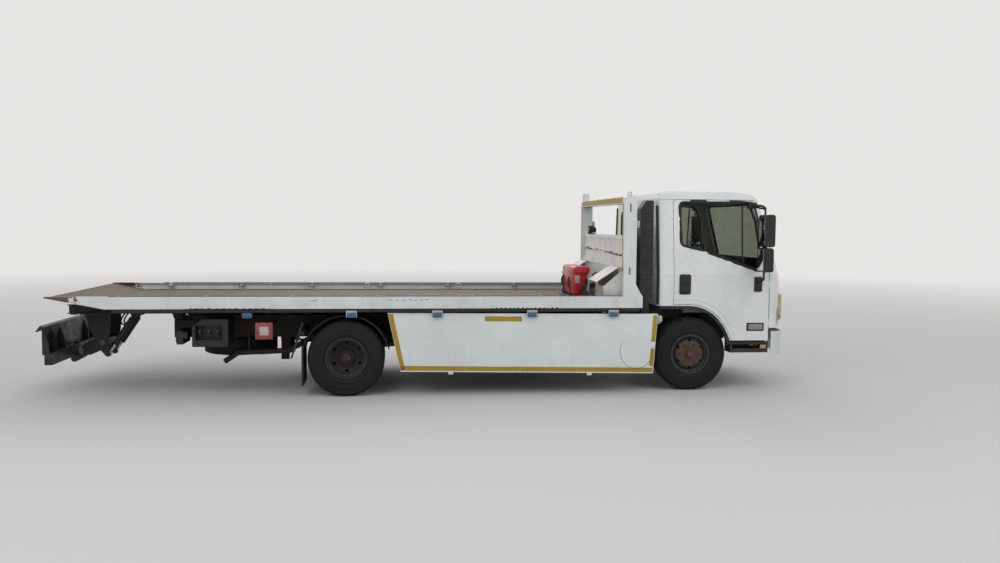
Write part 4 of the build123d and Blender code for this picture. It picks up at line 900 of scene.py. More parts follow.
@dataclass(frozen=True)
class Tyre(Finish):
    """Matt tyre rubber with dust in its rings round an axle."""

    axle_x: float
    colour: Colour = (0.0052, 0.0052, 0.0056)
    dust: float = 0.22
    dust_colour: Colour = (0.075, 0.068, 0.058)
    tread_from: float = 0.375
    tread_to: float = 0.402

    def dress(self, graph: Graph) -> None:
        """Fills the material's nodes.

        Args:
            graph: the material's node tree.
        """
        far = graph.away(self.axle_x, WHEEL_RADIUS)
        cloud = graph.span(graph.noise(16.0, 7.0, 0.66), 0.40, 0.75)
        tread = graph.span(far, self.tread_from, self.tread_to, 0.35, 1.0)
        share = graph.sum("MULTIPLY", graph.sum("MULTIPLY", cloud, tread), self.dust)
        graph.set("Base Color", graph.mix(share, self.colour, self.dust_colour))
        graph.set("Roughness", graph.span(cloud, 0, 1, 0.62, 0.88))
        graph.set("Specular IOR Level", 0.3)
        graph.bump(graph.noise(90.0, 5.0), 0.0010, 0.3)


@dataclass(frozen=True)
class Wheel(Finish):
    """A painted steel wheel gone brown at its middle, with brake dust."""

    axle_x: float
    edge: Colour = (0.030, 0.029, 0.028)
    middle: Colour = (0.085, 0.048, 0.032)
    pale: Colour = (0.20, 0.17, 0.14)
    spread: float = 0.16

    def dress(self, graph: Graph) -> None:
        """Fills the material's nodes.

        Args:
            graph: the material's node tree.
        """
        far = graph.away(self.axle_x, WHEEL_RADIUS)
        zone = graph.span(far, self.spread, self.spread - 0.03)
        cloud = graph.noise(22.0, 7.0, 0.68)
        rusty = graph.sum("MULTIPLY", zone, graph.span(cloud, 0.30, 0.56))
        base = graph.mix(rusty, self.edge, self.middle)
        pale = graph.sum("MULTIPLY", graph.span(cloud, 0.58, 0.74), 0.55)
        base = graph.mix(pale, base, self.pale)
        graph.set("Base Color", base)
        graph.set("Metallic", 0.2)
        graph.set("Roughness", graph.span(cloud, 0.3, 0.7, 0.5, 0.8))
        graph.bump(graph.noise(170.0, 5.0), 0.0007, 0.5)


@dataclass(frozen=True)
class Glass(Finish):
    """Window glass with a green tint and a film of dust."""

    colour: Colour = (0.40, 0.43, 0.37)
    rough: float = 0.02
    film: float = 0.10

    def dress(self, graph: Graph) -> None:
        """Fills the material's nodes.

        Args:
            graph: the material's node tree.
        """
        graph.set("Base Color", self.colour)
        graph.set("Transmission Weight", 1.0)
        graph.set("IOR", 1.12)
        smear = graph.noise(4.0, 6.0, 0.7)
        graph.set("Roughness", graph.span(smear, 0.45, 0.8, self.rough, self.rough + self.film))


@dataclass(frozen=True)
class Lens(Finish):
    """A lamp's coloured lens with moulded ribs."""

    colour: Colour = (0.8, 0.8, 0.78)
    ribs: float = 90.0
    clear: float = 0.35

    def dress(self, graph: Graph) -> None:
        """Fills the material's nodes.

        Args:
            graph: the material's node tree.
        """
        cloud = graph.span(graph.noise(30.0, 5.0), 0.4, 0.75, 0.0, 0.3)
        dull = tuple(c * 0.6 + 0.05 for c in self.colour)
        graph.set("Base Color", graph.mix(cloud, self.colour, dull))
        graph.set("Transmission Weight", self.clear)
        graph.set("Roughness", graph.span(cloud, 0, 0.3, 0.08, 0.2))
        graph.set("Coat Weight", 0.6)
        graph.bump(graph.cells(self.ribs), 0.0015, 0.35)


@dataclass(frozen=True)
class Cloth(Finish):
    """Woven seat cloth with a soft sheen."""

    colour: Colour = (0.035, 0.036, 0.040)
    thread: Colour = (0.10, 0.10, 0.105)

    def dress(self, graph: Graph) -> None:
        """Fills the material's nodes.

        Args:
            graph: the material's node tree.
        """
        waves = [graph.node("TexWave", {"Scale": 130.0, "Vector": graph.place},
                            wave_type="BANDS", bands_direction=way).outputs["Fac"]
                 for way in ("X", "Y")]
        weave = graph.sum("MULTIPLY", *waves)
        worn = graph.span(graph.noise(7.0, 5.0), 0.45, 0.75, 0.0, 0.5)
        base = graph.mix(worn, self.colour, tuple(c * 1.9 + 0.01 for c in self.colour))
        graph.set("Base Color", graph.mix(graph.sum("MULTIPLY", weave, 0.4), base, self.thread))
        graph.set("Roughness", 0.9)
        graph.set("Sheen Weight", 0.35)
        graph.set("Sheen Roughness", 0.5)
        graph.bump(weave, 0.0008, 0.6)


@dataclass(frozen=True)
class Silver(Finish):
    """A mirror's glass."""

    def dress(self, graph: Graph) -> None:
        """Fills the material's nodes.

        Args:
            graph: the material's node tree.
        """
        graph.set("Base Color", (0.82, 0.84, 0.84))
        graph.set("Metallic", 1.0)
        graph.set("Roughness", graph.span(graph.noise(20.0, 5.0), 0.5, 0.8, 0.03, 0.14))


# The finishes in use. Colours are linear red, green and blue.

CAB_WHITE = Paint("cab_paint", (0.70, 0.73, 0.72), rough=0.26, dust=0.09, streaks=0.04, chips=0.01,
                  dents=0.0002, coat=0.5, low=0.4, high=0.9)
SKIRT_WHITE = Paint("skirt_paint", (0.68, 0.72, 0.715), rough=0.36, dust=0.20, streaks=0.14,
                    chips=0.05, dust_colour=(0.42, 0.43, 0.42), dents=0.002, low=0.15, high=0.7)
RAIL_WHITE = Paint("rail_paint", (0.66, 0.69, 0.68), rough=0.42, dust=0.30, streaks=0.16,
                   chips=0.20, dust_colour=(0.22, 0.19, 0.16), low=0.93, high=1.10, dents=0.002,
                   worn_behind=-3.56)
POST_WHITE = Paint("post_paint", (0.68, 0.72, 0.71), dust=0.18, streaks=0.15, chips=0.08,
                   low=0.9, high=2.3)
LOCKER_WHITE = Paint("locker_paint", (0.62, 0.61, 0.57), dust=0.6, streaks=0.45, chips=0.3,
                     dust_colour=(0.26, 0.23, 0.19), low=0.9, high=1.6, dents=0.004)
BUMPER_WHITE = Paint("bumper_paint", (0.62, 0.65, 0.64), dust=0.45, low=0.35, high=0.75, chips=0.05)
CHASSIS_BLACK = Paint("chassis_paint", (0.0075, 0.007, 0.007), rough=0.55, dust=0.35,
                      streaks=0.15, dust_colour=(0.05, 0.042, 0.033), chips=0.15,
                      chip_colour=(0.06, 0.035, 0.022), coat=0.0, low=0.3, high=0.9)
# Black paint made darker than the chassis black, with less dust, as painted shade for the deep
# shade under the tail. Every piece in this finish carries that painted shade.
LIFT_BLACK_AND_SHADE = Paint("lift_paint", (0.0050, 0.0050, 0.0052), rough=0.45, dust=0.18, streaks=0.10,
                   chips=0.10, dust_colour=(0.04, 0.035, 0.03), chip_colour=(0.06, 0.045, 0.035),
                   coat=0.05, low=0.2, high=0.8)
COVER_RED = Paint("cover_paint", (0.50, 0.014, 0.020), dust=0.05, streaks=0.08, chips=0.04,
                  dust_colour=(0.20, 0.05, 0.04), low=0.9, high=1.4, coat=0.15)
TAPE = Paint("marking_tape", (0.365, 0.235, 0.003), rough=0.45, dust=0.20, streaks=0.3, chips=0.10,
             dust_colour=(0.22, 0.14, 0.03), chip_colour=(0.50, 0.52, 0.50), coat=0.1, dents=0.0003)
BOARD_RED = Paint("board_paint", (0.26, 0.018, 0.020), dust=0.3, chips=0.05)
PALE_PATCH = Paint("blank_patch", (0.46, 0.40, 0.40), dust=0.45, chips=0.1)
DECK_RUST = Rust("deck_rust", (0.120, 0.088, 0.068), (0.215, 0.185, 0.160))
TAIL_RUST = Rust("worn_steel", (0.10, 0.065, 0.045), (0.17, 0.13, 0.10), scrapes=0.3)
UNDER_RUST = Rust("frame_rust", (0.014, 0.012, 0.010), (0.030, 0.024, 0.019),
                  (0.008, 0.007, 0.006), scrapes=0.05)
AXLE_RUST = Rust("axle_rust", (0.022, 0.017, 0.014), (0.050, 0.036, 0.027),
                 (0.010, 0.008, 0.007), grain=3.0, scrapes=0.05)
GALVANISED = Steel("galvanised_steel")
RAM_STEEL = Steel("ram_steel", (0.62, 0.62, 0.62), 0.16, stained=0.25, metal=1.0)
CAST = Steel("cast_iron", (0.10, 0.098, 0.095), 0.5, (0.06, 0.045, 0.035), 0.6, 0.6)
ROPE = Steel("rope_steel", (0.25, 0.24, 0.22), 0.42, (0.10, 0.07, 0.05), 0.6)
BLACK = Plastic("black_plastic")
TRIM_BLACK = Plastic("trim_black", (0.016, 0.017, 0.018), 0.48, 0.3)
SEAL = Plastic("seal_rubber", (0.008, 0.008, 0.009), 0.62, 0.2, grain=900.0)
HOSE = Plastic("hose_rubber", (0.010, 0.010, 0.011), 0.5, 0.35, grain=500.0)
FLAP = Plastic("flap_rubber", (0.012, 0.012, 0.012), 0.7, 0.6, grain=120.0, depth=0.0012)
DASH_GREY = Plastic("dash_plastic", (0.045, 0.046, 0.047), 0.6, 0.3)
KNOB_GREY = Plastic("knob_grey", (0.11, 0.11, 0.115), 0.4, 0.2)
STEP_YELLOW = Plastic("step_yellow", (0.72, 0.44, 0.05), 0.4, 0.2)
WINDOW = Glass("window_glass")
BLUE_LENS = Lens("blue_lens", (0.003, 0.10, 0.23), clear=0.1)
RED_LENS = Lens("red_lens", (0.33, 0.010, 0.010), clear=0.1)
AMBER_LENS = Lens("amber_lens", (0.60, 0.22, 0.03), clear=0.15)
PALE_AMBER = Lens("pale_amber_lens", (0.50, 0.31, 0.10), clear=0.15)
CLEAR_LENS = Lens("clear_lens", (0.72, 0.74, 0.73), clear=0.5)
GREY_LENS = Lens("grey_lens", (0.26, 0.265, 0.26), ribs=90.0, clear=0.2)
LAMP_LENS = Lens("lamp_lens", (0.86, 0.88, 0.88), ribs=60.0, clear=0.75)
SEAT_CLOTH = Cloth("seat_cloth")
MIRROR = Silver("mirror_glass")
FRONT_TYRE = Tyre("front_tyre_rubber", FRONT_AXLE_X)
REAR_TYRE = Tyre("rear_tyre_rubber", REAR_AXLE_X, dust=0.2)
SPARE_TYRE = Tyre("spare_tyre_rubber", SPARE_WHEEL_X)
FRONT_WHEEL = Wheel("front_wheel_paint", FRONT_AXLE_X)
REAR_WHEEL = Wheel("rear_wheel_paint", REAR_AXLE_X, (0.016, 0.016, 0.017), (0.030, 0.024, 0.021))

NODE_FINISHES: dict[str, Finish] = {
    "chassis_frame": UNDER_RUST, "axles_and_springs": AXLE_RUST, "engine_and_driveline": CAST,
    "side_tanks": LIFT_BLACK_AND_SHADE, "exhaust": AXLE_RUST, "spare_wheel": SPARE_TYRE, "mudguards": FLAP,
    "side_skirts": SKIRT_WHITE, "control_box": LIFT_BLACK_AND_SHADE, "rear_light_bar": LIFT_BLACK_AND_SHADE,
    "front_bumper": BUMPER_WHITE, "intake_snorkel": TRIM_BLACK, "cab_shell": CAB_WHITE,
    "roof_panel": CAB_WHITE, "front_panel": CAB_WHITE, "cab_glass": WINDOW, "headlamps": LAMP_LENS,
    "grille": TRIM_BLACK, "seats": SEAT_CLOTH, "dashboard": DASH_GREY, "cab_trim": TRIM_BLACK,
    "door_left": CAB_WHITE, "door_right": CAB_WHITE, "door_glass_left": WINDOW,
    "door_glass_right": WINDOW, "mirror_left": BLACK, "mirror_right": BLACK,
    "knuckle_left": AXLE_RUST, "knuckle_right": AXLE_RUST, "tie_rod": AXLE_RUST,
    "tyre_front_left": FRONT_TYRE, "tyre_front_right": FRONT_TYRE, "rim_front_left": FRONT_WHEEL,
    "rim_front_right": FRONT_WHEEL, "tyres_rear_left": REAR_TYRE, "tyres_rear_right": REAR_TYRE,
    "rims_rear_left": REAR_WHEEL, "rims_rear_right": REAR_WHEEL, "tilt_frame": CHASSIS_BLACK,
    "tilt_ram_barrels": LIFT_BLACK_AND_SHADE, "tilt_ram_rods": RAM_STEEL, "deck_floor": DECK_RUST,
    "deck_frame": CHASSIS_BLACK, "side_rails": RAIL_WHITE, "headboard": POST_WHITE,
    "lockers": LOCKER_WHITE, "winch_frame": CAST, "winch_cover": COVER_RED, "side_lamps": BLUE_LENS,
    "winch_drum": CAST, "locker_lid_left": LOCKER_WHITE, "locker_lid_right": LOCKER_WHITE,
    "lift_arm": LIFT_BLACK_AND_SHADE, "stinger": LIFT_BLACK_AND_SHADE, "crossbar": LIFT_BLACK_AND_SHADE,
    "lift_ram_barrels": LIFT_BLACK_AND_SHADE, "lift_ram_rods": RAM_STEEL,
}


def dress_nodes() -> None:
    """Gives every CAD node its finish."""
    for name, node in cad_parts.items():
        finish = NODE_FINISHES[name]
        for slot in node.material_slots:
            slot.material = finish.material()
        if not node.material_slots:
            node.data.materials.append(finish.material())
        LOG.info("%s: %s", name, finish.name)


# Sub-assemblies

@dataclass
class Wheels:
    """Treaded tyres and the small things on the wheels."""

    radius: float = WHEEL_RADIUS
    width: float = 205.0
    bead: float = 208.0
    front_y: float = 847.5
    twin_y: Spot = (712.5, 957.5)
    steps: int = 72
    lug_zone: Spot = (366.0, 401.0)
    lug_from: float = 68.0
    lug_depths: Spot = (3.5, 5.5)
    lug_change: float = 380.0
    nut_circle: float = 111.0

    def profile(self) -> list[Spot]:
        """Draws a tyre's section, with its rings and tread grooves.

        Returns:
            Radius and distance from the tyre's middle, point by point.
        """
        r, w = self.radius, self.width / 2
        wall = [(self.bead, 26), (224, 26), (229, 12), (250, 6), (254, 3.5), (258, 5),
                (300, 0.6), (304, 0), (309, 0.8), (338, 2), (342, 4.5), (352, 4), (372, 8),
                (386, 14), (398, 24), (r - 1.5, 38)]
        tread = [(r - 0.5, 52), (r - 11, 49), (r - 11, 42), (r, 39), (r, 12), (r - 11, 9),
                 (r - 11, 3)]
        half = [(radius, w - inset) for radius, inset in wall] + tread
        return half + [(radius, -h) for radius, h in reversed(half)]

    def tyre(self, shape: Shape, x: float, y: float) -> None:
        """Adds one tyre with shoulder lugs to a shape.

        Args:
            shape: the shape.
            x, y: the wheel's middle.
        """
        first = len(shape.bm.faces)
        shape.lathe(self.profile(), (x, y, self.radius), Axis.Y, self.steps)
        shape.bm.faces.ensure_lookup_table()
        grown = []
        for face in shape.bm.faces[first:]:
            middle = face.calc_center_median()
            far = math.hypot(middle.x - x, middle.z - self.radius)
            turn = math.atan2(middle.z - self.radius, middle.x - x)
            slot = int(round((turn / math.tau) * self.steps - 0.5))
            on_shoulder = self.lug_zone[0] < far < self.lug_zone[1]
            if on_shoulder and abs(middle.y - y) > self.lug_from and slot % 2:
                grown.append(face)
        for face in bmesh.ops.extrude_discrete_faces(shape.bm, faces=grown)["faces"]:
            middle = face.calc_center_median()
            way = Vector((middle.x - x, 0, middle.z - self.radius))
            depth = self.lug_depths[way.length > self.lug_change]
            for vert in face.verts:
                vert.co -= way.normalized() * depth

    def build(self) -> None:
        """Makes the tyres, and the nuts, valves and brake drums on the front wheels."""
        for side in Side:
            s = side.value
            front = Shape()
            self.tyre(front, FRONT_AXLE_X, s * self.front_y)
            front.done(f"tread_front_{side.word}", f"front_wheel_{side.word}", FRONT_TYRE,
                       replaces=(f"tyre_front_{side.word}",))
            rear = Shape()
            for y in self.twin_y:
                self.tyre(rear, REAR_AXLE_X, s * y)
            rear.done(f"tread_rear_{side.word}", f"rear_wheels_{side.word}", REAR_TYRE,
                      replaces=(f"tyres_rear_{side.word}",))
            self.small(side)

    def small(self, side: Side) -> None:
        """Makes a side's front wheel nuts, valve and brake drum.

        Args:
            side: the side.
        """
        s, body = side.value, f"front_wheel_{side.word}"
        nuts = Shape()
        for x, z in ring(FRONT_AXLE_X, self.radius, self.nut_circle, 6, 0.5):
            nuts.rod((x, s * 900, z), (x, s * 917, z), 15, 6, 13)
            nuts.rod((x, s * 915, z), (x, s * 924, z), 8, 10)
        nuts.rod((FRONT_AXLE_X + 60, s * 896, self.radius + 165),
                 (FRONT_AXLE_X + 66, s * 922, self.radius + 172), 5, 8)
        nuts.done(f"wheel_nuts_front_{side.word}", body, CAST)
        drum = Shape()
        drum.lathe([(62, s * -9), (170, s * -9), (170, s * 3), (62, s * 3)],
                   (FRONT_AXLE_X, s * self.front_y, self.radius), Axis.Y, 40)
        drum.done(f"brake_drum_{side.word}", body, AXLE_RUST)


@dataclass
class Skirt:
    """The panels between the wheels, with their tape, scratches and small fittings."""

    face_y: float = 1100.0
    top: Spot = (893.0, 872.0)
    foot: Spot = (269.0, 222.0)
    rear: Spot = (-332.0, -196.0)
    front: Spot = (2588.0, 2545.0)
    tape: float = 50.0
    hem: float = 12.0

    def rear_x(self, z: float) -> float:
        """Finds the panel's rear edge.

        Args:
            z: the height.

        Returns:
            The edge's X.
        """
        slope = (self.rear[1] - self.rear[0]) / (self.top[0] - self.foot[0])
        return self.rear[0] + (self.top[0] - z) * slope

    def front_x(self, z: float) -> float:
        """Finds the panel's front edge.

        Args:
            z: the height.

        Returns:
            The edge's X.
        """
        slope = (self.front[1] - self.front[0]) / (self.top[1] - self.foot[1])
        return self.front[0] + (self.top[1] - z) * slope

    def foot_z(self, x: float) -> float:
        """Finds the panel's lower edge.

        Args:
            x: the place along the truck.

        Returns:
            The edge's Z.
        """
        share = (x - self.rear[1]) / (self.front[1] - self.rear[1])
        return self.foot[0] + share * (self.foot[1] - self.foot[0])

    def build(self) -> None:
        """Makes both sides' tape, scratches and fittings."""
        for side in Side:
            self.strips(side)
            self.scratches(side)
            self.fittings(side)

    def strips(self, side: Side) -> None:
        """Makes the marking tape round the panel.

        Args:
            side: the side.
        """
        t, hem = self.tape, self.hem
        low, high = self.rear_x(330) + 3, self.rear_x(880) + 3
        outlines = [
            [(high, 880), (high + t, 880), (low + t, 330), (low, 330)],
            [(low, 329.5), (low + t, 329.5), (self.rear_x(290) + 8 + t, self.foot_z(0) + hem + t),
             (self.rear_x(285) + 6, self.foot_z(-190) + hem)],
        ]
        cuts = [self.rear_x(290) + 30, 480, 1080, 1700, self.front_x(250) - 6]
        for a, b in zip(cuts, cuts[1:]):
            za, zb = self.foot_z(a) + hem, self.foot_z(b) + hem
            outlines.append([(a + 1, za), (b - 1, zb), (b - 1, zb + t), (a + 1, za + t)])
        for z0, z1 in ((300, 492), (566, 860)):
            x0, x1 = self.front_x(z0), self.front_x(z1)
            outlines.append([(x0 - 50, z0), (x0 - 5, z0), (x1 - 5, z1), (x1 - 50, z1)])
        outlines.append([(695, 800), (1095, 796), (1095, 850), (695, 854)])
        tape = Shape()
        for outline in outlines:
            tape.plate(outline, Axis.Y, (side.value * (self.face_y - 0.4),
                                         side.value * (self.face_y + 0.7)))
        tape.done(f"skirt_tape_{side.word}", "chassis", TAPE, smooth=False)

    def scratches(self, side: Side) -> None:
        """Makes the scrapes and the round patch's edge.

        Args:
            side: the side.
        """
        y = side.value * (self.face_y + 0.1)
        rim = [(2355 + 182 * math.cos(a), y, 465 + 190 * math.sin(a))
               for a in (math.radians(d) for d in range(150, 391, 12))]
        patch = Shape()
        patch.wire(rim, 2.4, sides=1)
        patch.done(f"skirt_patch_edge_{side.word}", "chassis", CAST)
        marks = Shape()
        marks.wire([(2085, y, 330), (2120, y, 288), (2165, y, 300), (2178, y, 345)], 1.6, sides=1)
        for x0, x1, z0, z1 in ((-60, 330, 700, 694), (10, 250, 640, 648), (120, 700, 540, 528),
                               (420, 900, 436, 441), (1180, 1500, 640, 633),
                               (1400, 1880, 380, 377)):
            middle = ((x0 + x1) / 2, y, (z0 + z1) / 2 + 4)
            marks.wire([(x0, y, z0), middle, (x1, y, z1)], 0.7, sides=1)
        marks.done(f"skirt_scratches_{side.word}", "chassis", GALVANISED)

    def fittings(self, side: Side) -> None:
        """Makes the latches, bolts, end bracket and reflector.

        Args:
            side: the side.
        """
        s = side.value
        out = s * self.face_y
        metal = Shape()
        for x in (335, 1835):
            z = self.foot_z(x)
            metal.box((x - 26, out - 2 * s, z - 26), (x + 26, out + 7 * s, z + 10), 3)
            metal.rod((x, out, z - 4), (x, out + 12 * s, z - 4), 9, 16, edge=2)
        x = self.front_x(530)
        metal.box((x - 52, out - 0.4 * s, 494), (x - 4, out + 3 * s, 564), 1.5)
        metal.done(f"skirt_latches_{side.word}", "chassis", SKIRT_WHITE)
        bolts = Shape()
        spots = [(x, out, z) for x in (20, 1940, 2360) for z in (700, 560, 400)]
        bolts.bolts(spots, (0, s, 0), 9, 5)
        bolts.done(f"skirt_bolts_{side.word}", "chassis", SKIRT_WHITE, smooth=False)
        bracket = Shape()
        back = s * (self.face_y - 18)
        bracket.plate([(2590, 852), (2640, 852), (2640, 790), (2612, 760), (2590, 760)], Axis.Y,
                      (s * (self.face_y - 24), back), 1)
        bracket.rod((2616, back, 806), (2616, s * (self.face_y - 2), 806), 26, 24, edge=3)
        bracket.box((2560, s * (self.face_y - 60), 800), (2600, back, 840), 2)
        bracket.done(f"skirt_end_bracket_{side.word}", "chassis", GALVANISED)
        shine = Shape()
        x = self.rear_x(300)
        shine.box((x + 6, out - 0.4 * s, 283), (x + 52, out + 4 * s, 326), 2)
        shine.done(f"skirt_reflector_{side.word}", "chassis", RED_LENS)


@dataclass
class Bed:
    """The slide bed's lamps, rings, weld beads, chips and slide pads."""

    half: float = BED_HALF
    lamp_x: tuple[float, ...] = (-1764.0, -704.0, 189.0, 1199.0, 2086.0)
    ring_x: tuple[float, ...] = (-3050.0, -2180.0, -1310.0, -440.0, 430.0, 1300.0)
    tail: float = -3750.0
    front: float = 2403.0
    rail_foot: float = 941.6

    def build(self) -> None:
        """Makes everything that rides on the bed."""
        self.lamps()
        self.rings()
        self.edges()
        self.chips()
        self.pads()

    def lamps(self) -> None:
        """Makes the side lamps, which stand for the plain ones. The rearmost has a dark case."""
        lens, pale, dark = Shape(), Shape(), Shape()
        for x in self.lamp_x:
            lens.box((x - 48, self.half - 9, 846), (x + 48, self.half + 5.5, 899), 7, 3)
            lens.box((x - 38, self.half + 3, 853), (x + 38, self.half + 6, 891), 2.5, 2)
            case = dark if x == self.lamp_x[0] else pale
            case.box((x - 57, self.half - 10, 896), (x + 57, self.half + 5.8, 922), 5, 3)
            case.box((x - 57, self.half - 10, 848.5), (x + 57, self.half - 3, 902), 3)
            for end in (x - 51, x + 51):
                case.rod((end, self.half - 5, 870), (end, self.half + 2, 870), 4.5, 10)
        lens.mirrored().done("side_lamp_lenses", "deck", BLUE_LENS, replaces=("side_lamps",))
        pale.mirrored().done("side_lamp_housings", "deck", GALVANISED)
        dark.mirrored().done("side_lamp_dark_housings", "deck", BLACK)

    def rings(self) -> None:
        """Makes the tie-down rings on the rails' inner faces."""
        rings = Shape()
        inner = self.half - 64
        for x in self.ring_x:
            rings.box((x - 30, inner - 9, 1012), (x + 30, inner + 1, 1052), 3)
            loop = [(u, inner - 14 - 5 * (v - 1046) / 24, v) for u, v in ring(x, 1046, 24, 10)]
            rings.wire(loop, 6, closed=True, sides=2)
        rings.mirrored().done("tie_down_rings", "deck", GALVANISED)

    def edges(self) -> None:
        """Makes the rails' caps and weld beads and the floor's seams."""
        caps = Shape()
        caps.box((self.tail + 620, self.half - 60, 1068.5),
                 (self.front - 120, self.half - 2, 1071.5), 1)
        caps.mirrored().done("rail_caps", "deck", TAIL_RUST, smooth=False)
        beads = Shape()
        for x in range(-2900, 2321, 870):
            wave = [(x + 3 * (-1) ** i, self.half, 948 + 9.5 * i) for i in range(12)]
            beads.wire(wave, 2.6, sides=2)
        beads.mirrored().done("rail_welds", "deck", RAIL_WHITE)
        seams = Shape()
        low, inner = FLOOR_TOP - 0.5, self.half - 72
        for x in range(-2900, 1581, 640):
            seams.box((x - 5, -inner, low), (x + 5, inner, FLOOR_TOP + 2.2), 1)
        seams.box((self.tail + 640, -6, low), (self.front - 420, 6, FLOOR_TOP + 2.0), 1)
        seams.done("floor_seams", "deck", TAIL_RUST, smooth=False)

    def chips(self) -> None:
        """Makes the places where the rails' paint is chipped."""
        foot = self.rail_foot
        outlines = []
        for k, x in enumerate(range(760, 1460, 46)):
            high = 3 + (k * 7) % 9
            outlines.append([(x, foot), (x + 12 + (k * 5) % 21, foot),
                             (x + 20 + (k * 3) % 13, 944 + high / 2),
                             (x + 8 + (k * 3) % 9, 944 + high)])
        for k, x in enumerate(range(-2380, -1560, 34)):
            wide, high = 26 + (k * 11) % 23, 5 + (k * 5) % 8
            outlines.append([(x, foot), (x + wide, foot), (x + wide - 9, 943 + high),
                             (x + 7, 942 + high / 2)])
        for k, x in enumerate((-1120, -1090, -320, -250, -180, -110, -60, 10, 60)):
            z = 1022 + (k * 5) % 14
            outlines.append([(x, z), (x + 38, z + 2), (x + 30, z + 6), (x + 4, z + 5)])
        chips = Shape()
        for outline in outlines:
            chips.plate(outline, Axis.Y, (self.half - 0.4, self.half + 0.5))
        chips.mirrored().done("rail_chips", "deck", LIFT_BLACK_AND_SHADE, smooth=False)

    def pads(self) -> None:
        """Makes the slide pads and their bolts below the floor."""
        pads = Shape()
        for x in (-2300, -1100, 100, 1300):
            pads.box((x - 90, 402, 862), (x + 90, 432, 900), 4)
            pads.bolts([(x - 60, 432, 880), (x + 60, 432, 880)], (0, 1, 0), 10, 7)
        pads.mirrored().done("slide_pads", "deck", CAST, smooth=False)


